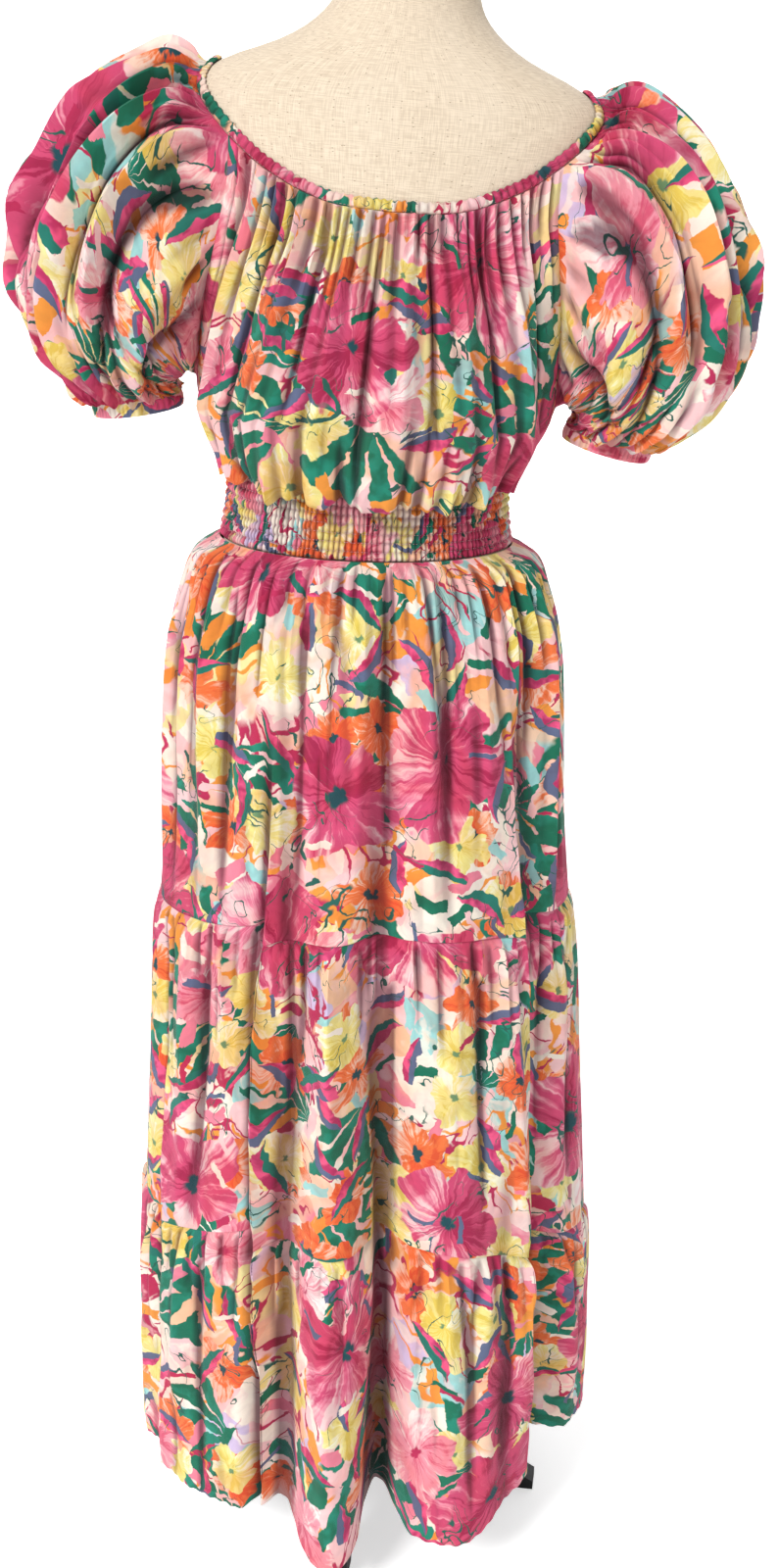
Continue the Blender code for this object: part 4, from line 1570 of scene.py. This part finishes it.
@dataclass
class Bodice:
    """The front and back of the bodice, gathered at the neckline and drooping over the waistband."""

    surface: Surface
    columns: int = 192
    rows: int = 104
    low_points: int = 40

    front_creases: tuple[Crease, ...] = tuple(Crease(*row) for row in (
        (-0.80, 0.02, 0.034, 0.00, 0.97, 0.0086), (-0.62, -0.03, 0.021, 0.00, 0.76, -0.0097),
        (-0.47, -0.02, 0.030, 0.00, 1.03, 0.0101), (-0.33, -0.04, 0.019, 0.00, 0.66, -0.0102),
        (-0.20, -0.03, 0.034, 0.00, 1.05, 0.0085), (-0.05, 0.00, 0.021, 0.00, 0.86, -0.0112),
        (0.09, 0.02, 0.036, 0.00, 1.05, 0.0096), (0.22, 0.03, 0.020, 0.00, 0.72, -0.0102),
        (0.35, 0.05, 0.030, 0.00, 0.97, 0.0088), (0.50, 0.04, 0.023, 0.00, 0.80, -0.0108),
        (0.66, 0.02, 0.030, 0.00, 0.91, 0.0088), (0.82, -0.02, 0.026, 0.00, 0.83, -0.0087),
    ))

    def corner(self, middle: float) -> float:
        """The angle from the panel's middle to the end of its neckline."""
        return FRONT_CORNER if middle == FRONT else math.pi - BACK_CORNER

    def base(self, middle: float, spread: Array, rise: Array, extra: Array,
             least: float = LEAST_EASE) -> Array:
        """Points of a bodice panel.

        Args:
            middle: The angle of the panel's middle.
            spread: Place across the panel, -1 to 1.
            rise: Rows of the tables from the waist: 0 to 4 up to the underarm, 10 at the neckline.
            extra: What gathers and creases add to the ease.
            least: The least ease, which keeps troughs clear of the form.

        Returns:
            The points, about the upright axis.
        """
        spread, rise = np.broadcast_arrays(np.asarray(spread, float), np.asarray(rise, float))
        low = [SmoothCurve(range(LOW_ROWS + 1), [row[i] for row in BODICE_ROWS]) for i in (0, 1)]
        top_ease = SmoothCurve(range(RAGLAN_ROWS + 1), (BODICE_ROWS[-1][1], *BODICE_TOP_EASE))
        up = np.clip((rise - LOW_ROWS) / RAGLAN_ROWS, 0, 1)
        turn = math.pi / 2 + (self.corner(middle) - math.pi / 2) * up ** 0.8
        angle = middle + turn * spread
        seam_angle = middle + self.corner(middle) * spread
        top = neck_seam(seam_angle, np.zeros_like(seam_angle))[..., 2]
        level = np.where(rise <= LOW_ROWS, low[0](rise), UNDERARM + (top - UNDERARM) * up)
        droop = ease_in(rise, 0.2, 1.0) * (1 - ease_in(rise, 2.0, 3.6))
        at_side = np.sin(angle) ** 4 * (0.011 + 0.005 * np.sin(angle))
        level = level + (at_side - 0.60 * extra) * droop
        ease = np.where(rise <= LOW_ROWS, low[1](rise), top_ease(up * RAGLAN_ROWS))
        hang = 1 + BUST_EASE * np.cos(angle) ** 2 * (1 - up) * np.clip(rise, 0, 1)
        taper = 1 - (1 - SIDE_TAPER(rise)) * np.sin(angle) ** 4
        over_band = 0.0058 * ease_in(rise, 0.0, 0.5) * (1 - ease_in(rise, 2.0, 2.6))
        ease = np.maximum(ease * hang * taper + extra, least + over_band)
        body = FORM.over(angle, level, ease)
        seam = neck_seam(seam_angle, ease)
        blend = ease_in(up, 0.80, 1.0)[..., None]
        return body * (1 - blend) + seam * blend

    def gathers(self, middle: float, spread: Array, rise: Array) -> Array:
        """What the panel's gathers add to its ease.

        Args:
            middle: The angle of the panel's middle.
            spread: Place across the panel, -1 to 1.
            rise: Rows of the tables from the waist.

        Returns:
            What they add, in metres.
        """
        shares = [row[2] for row in BODICE_ROWS] + list(BODICE_TOP_GATHER)
        share = SmoothCurve(range(NECK_ROW + 1), shares)(rise)
        column = (spread + 1) / 2 * BODICE_COLUMNS
        wave = 0.45 * gather(column, share * BODICE_GATHER)
        down = 1 - rise / NECK_ROW
        seed = 300 if middle == FRONT else 320
        main = self.front_creases if middle == FRONT else scattered(
            seed, 13, (-0.95, 0.95), (0.026, 0.040), (0.5, 0.85), (0.0050, 0.0076), 0.05)
        neck = scattered(seed + 1, 62, (-1, 1), (0.010, 0.018), (0.12, 0.45), (0.0028, 0.0052), 0.02)
        waist = scattered(seed + 2, 50, (-1, 1), (0.012, 0.022), (0.22, 0.62), (0.0028, 0.0056), 0.04)
        puffs = scattered(seed + 3, 17, (-1, 1), (0.034, 0.060), (0.30, 0.70), (0.0065, 0.0110), 0.05)
        near_seam = ease_in(down, 0.0, 0.02)
        push = (crease_depth(main, spread, down) + crease_depth(neck, spread, down)) * near_seam
        push = push + crease_depth(waist, spread, 1 - down) + crease_depth(puffs, spread, 1 - down)
        push = push * np.clip(rise / 0.6, 0, 1)
        dents = 0.0008 * ripple_noise(seed, spread * 0.24, down * 0.30) * near_seam
        edge = np.clip((1 - np.abs(spread)) / 0.10, 0, 1)
        return (wave + push + dents) * edge

    def panel(self, middle: float, name: str) -> Thing:
        """Make one panel of the bodice.

        Args:
            middle: The angle of the panel's middle.
            name: The panel's name.

        Returns:
            The panel.
        """
        spread = np.linspace(-1, 1, self.columns + 1)[None, :]
        upper = np.linspace(NECK_ROW, LOW_ROWS, self.rows + 1 - self.low_points)
        rise = np.concatenate([upper, np.linspace(LOW_ROWS, 0, self.low_points)[1:]])[:, None]
        extra = self.gathers(middle, spread, rise)
        outer = self.base(middle, spread, rise, extra)
        inner = self.base(middle, spread, rise, extra - SHELL, LEAST_EASE - SHELL)
        for grid in (outer, inner):
            meet_sides(grid, middle, rise[:, 0] <= LOW_ROWS)
        cut = flat_cut(outer, (0.25, 5.3) if middle == FRONT else (2.6, 6.1))
        return shell(name, outer, inner, cut)

    def build(self) -> None:
        """Make the front and the back."""
        for middle, word in ((FRONT, "front"), (BACK, "back")):
            piece = self.panel(middle, f"dress_bodice_{word}")
            declare(piece, Slot.PRINT, self.surface, f"bodice_{word}")


@dataclass
class Sleeve:
    """One puff sleeve, gathered onto the neckline and drawn in by its cuff."""

    side: Side
    surface: Surface
    columns: int = 256
    rows: int = 90

    drapes: tuple[Crease, ...] = tuple(Crease(*row) for row in (
        (2.3, 0.9, 0.36, 0.04, 0.85, -0.0150), (3.6, 0.2, 0.56, 0.02, 0.80, 0.0120),
        (4.9, 0.8, 0.40, 0.00, 0.95, -0.0250), (6.2, -0.9, 0.58, 0.00, 0.80, 0.0150),
        (7.4, -0.6, 0.34, 0.00, 0.60, -0.0170), (8.6, 1.2, 0.60, 0.00, 1.00, 0.0165),
        (9.9, 0.9, 0.42, 0.00, 0.92, -0.0265), (11.2, -1.1, 0.58, 0.00, 0.90, 0.0150),
        (12.3, -1.2, 0.36, 0.00, 0.62, -0.0180), (13.5, 1.3, 0.60, 0.00, 0.95, 0.0155),
        (14.9, 0.8, 0.42, 0.00, 0.90, -0.0240), (16.3, -0.6, 0.62, 0.00, 0.95, 0.0150),
        (17.6, -1.0, 0.36, 0.02, 0.66, -0.0180), (18.9, 0.9, 0.58, 0.00, 0.95, 0.0150),
        (20.2, 0.7, 0.42, 0.00, 0.92, -0.0255), (21.6, -1.0, 0.60, 0.00, 0.90, 0.0150),
        (22.9, -0.9, 0.36, 0.00, 0.64, -0.0175), (24.2, 1.0, 0.58, 0.00, 0.95, 0.0150),
        (25.5, 0.8, 0.42, 0.00, 0.94, -0.0240), (26.9, -0.8, 0.56, 0.02, 0.85, 0.0130),
        (28.2, -0.7, 0.36, 0.04, 0.70, -0.0160), (29.5, 0.5, 0.54, 0.06, 0.90, 0.0110),
        (5.8, -7.5, 0.36, 0.30, 0.78, -0.0110), (8.8, 8.0, 0.38, 0.42, 0.95, -0.0125),
        (9.9, 8.0, 0.46, 0.44, 0.95, 0.0085), (11.6, 9.5, 0.40, 0.28, 0.80, -0.0130),
        (12.8, 9.5, 0.48, 0.30, 0.80, 0.0090), (18.2, -8.5, 0.40, 0.48, 0.98, -0.0130),
        (21.4, -9.0, 0.40, 0.30, 0.82, -0.0120), (25.8, 7.5, 0.38, 0.40, 0.90, -0.0115),
    ))

    def sign(self) -> int:
        """The side's direction along X."""
        return self.side.value

    def seam_ring(self, column: Array) -> Array:
        """The seam that joins the sleeve to the bodice and the neckline.

        Args:
            column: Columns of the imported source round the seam, 0 to 32.

        Returns:
            The points, about the upright axis.
        """
        panels = Bodice(self.surface)
        sign = self.sign()
        none = np.zeros_like(column)
        front, back = (
            panels.base(middle, np.full_like(column, at), LOW_ROWS + np.clip(up, 0, RAGLAN_ROWS), none)
            for middle, at, up in ((FRONT, sign, column), (BACK, -sign, RING_COLUMNS - column)))
        share = np.clip((column - RAGLAN_ROWS) / SHOULDER_COLUMNS, 0, 1)
        over = neck_seam(sign * (FRONT_CORNER + (BACK_CORNER - FRONT_CORNER) * share),
                         np.full_like(column, BODICE_TOP_EASE[-1]))
        ring = np.where((column <= RAGLAN_ROWS)[:, None], front, over)
        return np.where((column >= RAGLAN_ROWS + SHOULDER_COLUMNS)[:, None], back, ring)

    def ring(self, number: int, column: Array) -> Array:
        """One ring of the sleeve's form.

        Args:
            number: Its row in the table of rings.
            column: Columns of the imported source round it, 0 to 32.

        Returns:
            The points, about the upright axis.
        """
        fan, near, far, half_depth, fold = SLEEVE_RINGS[number]
        seam = np.interp(column, (0, RAGLAN_ROWS, RAGLAN_ROWS + SHOULDER_COLUMNS, RING_COLUMNS),
                         (180, 60, -60, -180))
        even = 180 - 360 * column / RING_COLUMNS
        share = min(1.0, number / 4) * 0.6
        turn = np.radians(seam + (even - seam) * share)
        angle = math.radians(fan)
        reach = np.array([self.sign() * math.cos(angle), 0.0, math.sin(angle)])
        centre = np.array([self.sign() * SLEEVE_HINGE[0], 0.0, SLEEVE_HINGE[1]]) + reach * (near + far) / 2
        wave = 0.35 * gather(column, fold) * (0.55 + 0.45 * np.cos(turn))
        length = ((far - near) / 2 + wave) * np.cos(turn)
        depth = (half_depth + wave) * np.sin(turn)
        return centre + reach * length[:, None] - np.array([0.0, 1.0, 0.0]) * depth[:, None]

    def surface_points(self) -> Array:
        """The outer points of the sleeve, from its seam down to its cuff."""
        column = np.arange(self.columns) * RING_COLUMNS / self.columns
        rings = np.stack([self.seam_ring(column)] + [self.ring(i, column) for i in range(len(SLEEVE_RINGS))])
        place = np.linspace(0, len(rings) - 1, self.rows + 1)
        place = (len(rings) - 1) * (place / (len(rings) - 1)) ** 1.1
        k = np.clip(place.astype(int), 0, len(rings) - 2)
        t = (place - k)[:, None, None]
        slopes = np.gradient(rings, axis=0)
        slopes[0] = 1.35 * (rings[1] - rings[0])
        grid = ((1 + 2 * t) * (1 - t) ** 2 * rings[k] + t * (1 - t) ** 2 * slopes[k]
                + t * t * (3 - 2 * t) * rings[k + 1] + t * t * (t - 1) * slopes[k + 1])
        down = (place / (len(rings) - 1))[:, None]
        across = column[None, :]
        seed = 500 if self.side is Side.LEFT else 540
        shoulder = scattered(seed, 80, (1, 31), (0.14, 0.26), (0.12, 0.42), (0.0028, 0.0056), 0.4)
        middle = scattered(seed + 1, 26, (0, 32), (0.26, 0.50), (0.30, 0.60), (0.0050, 0.0100), 3.4,
                           (0.10, 0.40))
        foot = scattered(seed + 2, 54, (0, 32), (0.18, 0.36), (0.16, 0.50), (0.0046, 0.0092), 1.0)
        push = sum(crease_depth(part, across, down) for part in (self.drapes, shoulder, middle))
        push = push + crease_depth(foot, across, 1 - down)
        push = push + 0.0022 * ripple_noise(seed, across * 0.018, down * 0.35)
        push = push * ease_in(down, 0.0, 0.05) * (1 - 0.85 * ease_in(down, 0.97, 1.0))
        inward = 0.30 + 0.70 * ease_in(np.minimum(across, RING_COLUMNS - across), 0.0, 3.0)
        return grid + grid_normals(grid, True) * self.sign() * (push * inward)[..., None]

    def build(self) -> None:
        """Make the sleeve."""
        outer = self.surface_points()
        inner = outer - grid_normals(outer, True) * self.sign() * SHELL
        if self.side is Side.RIGHT:
            outer, inner = outer[:, ::-1], inner[:, ::-1]
        cut = flat_cut(outer, (4.4, 1.2) if self.side is Side.LEFT else (6.2, 2.9), all_round=True)
        word = self.side.name.lower()
        piece = shell(f"puff_sleeve_{word}", outer, inner, cut, all_round=True)
        declare(piece, Slot.PRINT, self.surface, f"sleeve_{word}")


@dataclass
class Cuff:
    """The narrow elastic cuff at a sleeve's foot."""

    side: Side
    surface: Surface
    height: float = 0.012
    thickness: float = 0.0025
    columns: int = 322
    rows: int = 7
    gathers: int = 46

    def build(self) -> None:
        """Make the cuff."""
        sleeve = Sleeve(self.side, self.surface)
        column = np.arange(self.columns) * RING_COLUMNS / self.columns
        edge = sleeve.ring(len(SLEEVE_RINGS) - 1, column)
        fan = math.radians(SLEEVE_RINGS[-1][0])
        sign = sleeve.sign()
        drop_way = np.array([sign * math.sin(fan), 0.0, -math.cos(fan)])
        way = unit(edge - edge.mean(axis=0))
        share = np.linspace(0, 1, self.rows + 1)[:, None]
        turns = column[None, :] / RING_COLUMNS
        phase = turns * 2 * np.pi * self.gathers + 0.8 * np.sin(column[None, :] * 1.7)
        full = np.sin(np.pi * share) ** 0.6
        swell = 0.0006 + 0.0011 * full * (0.5 + 0.5 * np.cos(phase))
        outer = edge[None] + drop_way * (SEAM_GAP + share * (self.height - SEAM_GAP))[..., None]
        outer = outer + way[None] * (swell - 0.0008)[..., None]
        inner = outer - way[None] * self.thickness
        if self.side is Side.RIGHT:
            outer, inner = outer[:, ::-1], inner[:, ::-1]
        cut = flat_cut(outer, (8.3, 0.7 + sign), all_round=True)
        word = self.side.name.lower()
        piece = shell(f"sleeve_cuff_{word}", outer, inner, cut, all_round=True)
        declare(piece, Slot.PRINT, self.surface, f"cuff_{word}")


@dataclass
class NeckCasing:
    """The elastic casing round the neckline, with its fine gathers."""

    surface: Surface
    clearance: float = 0.0009
    thickness: float = 0.0024
    gathers: int = 150
    columns: int = 900
    rows: int = 7

    def line(self, share: float, lift: float) -> Array:
        """A line along the casing, for its stitches.

        Args:
            share: Where it lies from the upper edge, -1, to the lower, 1.
            lift: How far it lies off the form.

        Returns:
            Its points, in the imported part's place.
        """
        angle = np.linspace(0, 2 * np.pi, 1200)
        here, out, down = neck_frame(angle)
        return leaned(here + down * CASING_HALF_WIDTH * share + out * lift)

    def build(self) -> None:
        """Make the casing."""
        angle = np.arange(self.columns) * 2 * np.pi / self.columns
        here, out, down = neck_frame(angle)
        share = np.linspace(-1, 1, self.rows + 1)[:, None]
        uneven = 1 + 0.35 * np.sin(angle * 11 + 1) + 0.2 * np.sin(angle * 37)
        phase = self.gathers * angle + 1.2 * np.sin(9 * angle) + 0.7 * np.sin(23 * angle)
        ripple = 0.0017 * uneven[None] * np.abs(np.cos(phase / 2))[None] ** 0.8
        round_off = np.sqrt(np.clip(1 - 0.85 * share ** 2, 0, 1))
        lift = self.clearance + (self.thickness + ripple) * round_off
        slide = share * (CASING_HALF_WIDTH - 0.0002) + 0.0007 * np.sin(phase)[None] * (share < 0) * -share
        base = here[None] + down[None] * slide[..., None]
        outer, inner = base + out[None] * lift[..., None], base + out[None] * self.clearance
        cut = flat_cut(outer, (0.2, 9.1), all_round=True, fullness=1.5)
        piece = shell("neck_elastic_casing", outer, inner, cut, all_round=True)
        declare(piece, Slot.PRINT, self.surface, "neck_casing")


@dataclass
class Waistband:
    """The smocked waistband: fine upright pleats pinched by rows of elastic thread."""

    surface: Surface
    clearance: float = 0.0006
    pleats: int = 160
    elastic_rows: int = 8
    depth: float = 0.0034
    columns: int = 1120
    rows: int = 32

    def pleating(self, angle: Array, share: Array) -> tuple[Array, Array, Array]:
        """The shape of the pleats.

        Args:
            angle: Angles round the band.
            share: Place down the band, 0 to 1.

        Returns:
            The height of each pleat, 0 to 1, its unevenness, and how free it is of the elastic, 0 to 1.
        """
        row = share * self.elastic_rows
        free = np.abs(np.sin(np.pi * row)) ** 0.7
        drift = 0.5 * np.sin(1.3 * np.floor(row) + 7 * angle) * free
        phase = self.pleats * angle / 2 + 0.8 * np.sin(13 * angle) + 0.5 * np.sin(29 * angle) + drift * 0.6
        uneven = 1 + 0.22 * np.sin(31 * angle + 2 * np.floor(row)) + 0.15 * np.sin(57 * angle)
        return np.abs(np.cos(phase)) ** 0.75, uneven, free

    def lift(self, angle: Array, share: Array) -> Array:
        """How far the outer side stands off the form.

        Args:
            angle: Angles round the band.
            share: Place down the band, 0 to 1.

        Returns:
            The lift, in metres.
        """
        pleat, uneven, free = self.pleating(angle, share)
        return self.clearance + 0.0012 + self.depth * uneven * pleat * (0.30 + 0.70 * free)

    def line(self, row: int) -> Array:
        """The line that one row of elastic thread follows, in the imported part's place.

        Args:
            row: The row's number from the top.

        Returns:
            Its points.
        """
        angle = np.linspace(0, 2 * np.pi, 2200)
        share = np.full_like(angle, row / self.elastic_rows)
        level = WAIST_TOP + (WAIST_BOTTOM - WAIST_TOP) * share
        lift = self.lift(angle, share) + 0.0001
        return leaned(FORM.point(angle, level) + FORM.outward(angle, level) * lift[..., None])

    def build(self) -> None:
        """Make the waistband."""
        angle = (np.arange(self.columns) * 2 * np.pi / self.columns)[None, :]
        share = np.linspace(0, 1, self.rows + 1)[:, None]
        level = WAIST_TOP + (WAIST_BOTTOM - WAIST_TOP) * share
        base = FORM.point(angle, level)
        way = FORM.outward(angle, level)
        outer = base + way * self.lift(angle, share)[..., None]
        inner = base + way * self.clearance
        cut = flat_cut(outer, (3.3, 9.6), all_round=True, fullness=1.6)
        pleat, _, free = self.pleating(angle, share)
        # Painted shade in the pleats' valleys and along the pinched elastic rows.
        painted_shade = np.clip(1.15 * (1 - pleat) ** 1.3 + 0.40 * (1 - free), 0, 1)
        piece = shell("smocked_waistband", outer, inner, cut, all_round=True, painted_shade=painted_shade)
        declare(piece, Slot.SMOCKED, self.surface, "waistband")


# Form and stand.


@dataclass
class DressForm:
    """The limbless form under the dress, covered in plain linen."""

    surface: Surface
    columns: int = 128
    rows: int = 120
    rounding: float = 0.006
    cap_rows: int = 8

    def build(self) -> None:
        """Make the form, closed at its neck and below its hips."""
        low, high = FORM_SECTIONS[0][0], FORM_SECTIONS[-1][0]
        caps, walls = self.cap_rows, np.linspace(high, low, self.rows)
        heights = np.concatenate([np.full(caps, high), walls, np.full(caps, low)])
        cap = np.linspace(0.06, 0.97, caps)
        inset = np.concatenate([cap, np.ones(self.rows), np.linspace(0.97, 0.06, caps)])
        corner = np.sqrt(np.clip(1 - np.clip(1 - (high - heights) / self.rounding, 0, 1) ** 2, 0, 1))
        size = inset * np.where(inset == 1, 1 - 0.05 * (1 - corner), 0.95 + 0 * corner)
        angle = np.arange(self.columns) * 2 * np.pi / self.columns
        grid = FORM.point(angle[None, :], heights[:, None])
        grid[..., :2] *= np.where(heights > (low + high) / 2, size, inset)[:, None, None]
        closed = np.concatenate([angle, [2 * np.pi]])
        down = heights[:, None] + inset[:, None] * 0.05
        cut = np.stack(np.broadcast_arrays(closed[None, :] * 0.16, down), axis=-1)
        r, c = squares(len(heights) - 1, self.columns)
        faces = r * self.columns + c % self.columns
        piece = mesh_object("linen_form", leaned(grid.reshape(-1, 3)), faces, cut[r, c], 60)
        self.close(piece)
        declare(piece, Slot.LINEN, self.surface, "form_torso")

    def close(self, piece: Thing) -> None:
        """Close the two small holes at the poles of the form's ends.

        Args:
            piece: The form.
        """
        work = bmesh.new()
        work.from_mesh(piece.data)
        bmesh.ops.holes_fill(work, edges=[edge for edge in work.edges if edge.is_boundary], sides=0)
        work.to_mesh(piece.data)
        work.free()


@dataclass
class Stand:
    """The black stand that the form is carried on."""

    surface: Surface
    nodes: tuple[str, ...] = ("stand_pole", "stand_leg_1", "stand_leg_2", "stand_leg_3", "stand_leg_4")

    def build(self) -> None:
        """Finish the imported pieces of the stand."""
        for name in self.nodes:
            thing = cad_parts[name]
            thing.data.materials.clear()
            thing.data.materials.append(self.surface)
            log.info("%s: finished", name)


# Sewing.


@dataclass
class Stitching:
    """Rows of stitches laid along lines on the cloth by Geometry Nodes."""

    pitch: float = 0.0034
    length: float = 0.0024
    thickness: float = 0.00045

    def tree(self) -> bpy.types.NodeTree:
        """The node tree that sets one stitch at every step of a line."""
        tree = bpy.data.node_groups.new("stitch_row", "GeometryNodeTree")
        face = tree.interface
        face.new_socket("Line", in_out="INPUT", socket_type="NodeSocketGeometry")
        for name in ("Pitch", "Length", "Thickness"):
            face.new_socket(name, in_out="INPUT", socket_type="NodeSocketFloat")
        face.new_socket("Thread", in_out="INPUT", socket_type="NodeSocketMaterial")
        face.new_socket("Stitches", in_out="OUTPUT", socket_type="NodeSocketGeometry")
        add = tree.nodes.new
        start, end = add("NodeGroupInput"), add("NodeGroupOutput")
        curve, spaced = add("GeometryNodeMeshToCurve"), add("GeometryNodeResampleCurve")
        spaced.mode = "LENGTH"
        bead, size = add("GeometryNodeMeshUVSphere"), add("ShaderNodeCombineXYZ")
        for name, value in (("Segments", 5), ("Rings", 3), ("Radius", 0.5)):
            bead.inputs[name].default_value = value
        tangent, turn = add("GeometryNodeInputTangent"), add("FunctionNodeAlignRotationToVector")
        turn.axis = "Z"
        place, real = add("GeometryNodeInstanceOnPoints"), add("GeometryNodeRealizeInstances")
        thread = add("GeometryNodeSetMaterial")
        for source, out, target, into in (
                (start, "Line", curve, "Mesh"), (curve, 0, spaced, "Curve"),
                (start, "Pitch", spaced, "Length"), (start, "Thickness", size, 0),
                (start, "Thickness", size, 1), (start, "Length", size, 2),
                (tangent, 0, turn, "Vector"), (spaced, 0, place, "Points"), (bead, "Mesh", place, "Instance"),
                (turn, 0, place, "Rotation"), (size, 0, place, "Scale"), (place, 0, real, 0),
                (real, 0, thread, "Geometry"), (start, "Thread", thread, "Material"), (thread, 0, end, 0)):
            tree.links.new(source.outputs[out], target.inputs[into])
        return tree

    def sew(self, name: str, lines: Sequence[Array], slot: Slot, thread: Surface,
            tree: bpy.types.NodeTree) -> None:
        """Sew stitches along some lines.

        Args:
            name: The piece's name.
            lines: Points of each line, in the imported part's place.
            slot: The record's slot of the cloth that is sewn.
            thread: The thread's finish.
            tree: The node tree of the stitches.
        """
        points, edges, first = [], [], 0
        for line in lines:
            points += line.tolist()
            edges += [(first + i, first + i + 1) for i in range(len(line) - 1)]
            first += len(line)
        mesh = bpy.data.meshes.new(name)
        mesh.from_pydata(points, edges, [])
        path = add_object(f"{name}_line", mesh)
        modifier = path.modifiers.new("stitches", "NODES")
        modifier.node_group = tree
        values = {"Pitch": self.pitch, "Length": self.length, "Thickness": self.thickness, "Thread": thread}
        for item in tree.interface.items_tree:
            if item.in_out == "INPUT" and item.name in values:
                modifier[item.identifier] = values[item.name]
        depsgraph = bpy.context.evaluated_depsgraph_get()
        made = bpy.data.meshes.new_from_object(path.evaluated_get(depsgraph), depsgraph=depsgraph)
        bpy.data.objects.remove(path, do_unlink=True)
        made.shade_smooth()
        declare(add_object(name, made), slot, thread)


# Studio.


@dataclass
class Studio:
    """The pale floor, the soft lights and the camera."""

    camera_place: tuple[float, float, float] = (0.009, -1.899, 1.53)
    pitch: float = 20.4
    roll: float = 0.5
    view_height: float = 2 * math.atan(800 / 2080)

    def floor(self) -> None:
        """A plain pale floor that sweeps up into a backdrop."""
        profile = [(-7.0, 0.0), (5.0, 0.0), (6.0, 0.12), (6.8, 0.6), (7.2, 1.4), (7.3, 6.0)]
        points = [(x, y, z - 0.0004) for y, z in profile for x in (-9.0, 9.0)]
        faces = [(2 * i, 2 * i + 1, 2 * i + 3, 2 * i + 2) for i in range(len(profile) - 1)]
        mesh = bpy.data.meshes.new("floor")
        mesh.from_pydata(points, [], faces)
        mesh.shade_smooth()
        board = NodeBoard("pale_floor")
        spot = board.node("ShaderNodeTexCoord").outputs["Object"]
        soft = board.noise(spot, 3.0, 2.0)
        seen = board.node("ShaderNodeLightPath").outputs["Is Camera Ray"]
        mesh.materials.append(board.finish(
            board.mix(soft, (0.93, 0.93, 0.93), (0.95, 0.95, 0.95)), 0.9, Specular_IOR_Level=0.1,
            Emission_Color=WHITE, Emission_Strength=board.math("MULTIPLY_ADD", seen, 0.45, 0.10)))
        add_object("floor", mesh)

    def sun(self, name: str, source: tuple[float, float, float], power: float, spread: float) -> None:
        """Add one soft even light.

        Args:
            name: The light's name.
            source: The direction that the light comes from.
            power: Its strength.
            spread: Its width in degrees, which softens its shadows.
        """
        lamp = bpy.data.lights.new(name, "SUN")
        lamp.energy = power
        lamp.angle = math.radians(spread)
        add_object(name, lamp).rotation_euler = (-Vector(source)).to_track_quat("-Z", "Y").to_euler()

    def camera(self) -> None:
        """Set the camera where the photograph was taken from."""
        tilt, roll = math.radians(self.pitch), math.radians(self.roll)
        forward = Vector((0.0, math.cos(tilt), -math.sin(tilt)))
        up = Vector((0.0, math.sin(tilt), math.cos(tilt)))
        right = Vector((1.0, 0.0, 0.0))
        right, up = (right * math.cos(roll) + up * math.sin(roll),
                     up * math.cos(roll) - right * math.sin(roll))
        lens = bpy.data.cameras.new("camera")
        lens.sensor_fit = "VERTICAL"
        lens.angle_y = self.view_height
        lens.clip_start = 0.05
        thing = add_object("camera", lens)
        turn = Matrix((right, up, -forward)).transposed().to_4x4()
        thing.matrix_world = Matrix.Translation(self.camera_place) @ turn
        bpy.context.scene.camera = thing

    def build(self) -> None:
        """Set up the studio."""
        self.camera()
        self.floor()
        self.sun("key", (-0.70, -1.0, 0.95), 2.80, 18.0)
        self.sun("fill", (1.0, -0.75, 0.30), 0.36, 60.0)
        self.sun("back", (0.35, 1.0, 0.80), 0.90, 60.0)
        scene = bpy.context.scene
        scene.view_settings.view_transform = "Standard"
        world = bpy.data.worlds.new("soft_sky")
        world.use_nodes = True
        sky = world.node_tree.nodes["Background"]
        sky.inputs["Color"].default_value = (1.0, 1.0, 1.0, 1.0)
        seen = world.node_tree.nodes.new("ShaderNodeLightPath").outputs["Is Camera Ray"]
        glow = world.node_tree.nodes.new("ShaderNodeMapRange")
        for name, value in (("To Min", 0.36), ("To Max", 0.90)):
            glow.inputs[name].default_value = value
        world.node_tree.links.new(seen, glow.inputs["Value"])
        world.node_tree.links.new(glow.outputs[0], sky.inputs["Strength"])
        scene.world = world


# Making.


def main() -> None:
    """Build every piece in order."""
    logging.basicConfig(level=logging.INFO, format="%(message)s")
    Studio().build()
    cotton = PrintedCotton().build()
    metal = BlackMetal().build()
    linen = Linen().build()
    pink_thread = Thread("rose_thread", (0.80, 0.42, 0.50)).build()
    DressForm(linen).build()
    Stand(metal).build()
    for index, flat, gathers in ((0, (0.72, 0.37), 66), (1, (0.84, 0.37), 72), (2, (0.98, 0.34), 76)):
        Tier(index, cotton, flat, gathers).build()
    Bodice(cotton).build()
    for side in Side:
        Sleeve(side, cotton).build()
        Cuff(side, cotton).build()
    casing = NeckCasing(cotton)
    casing.build()
    band = Waistband(cotton)
    band.build()
    sewing = Stitching()
    tree = sewing.tree()
    rows = [band.line(row) for row in range(1, band.elastic_rows)]
    sewing.sew("waistband_elastic_rows", rows, Slot.SMOCKED, pink_thread, tree)
    sewing.sew("neckline_stitches", [casing.line(0.78, 0.0030)], Slot.PRINT, pink_thread, tree)


if __name__ == "__main__":
    main()
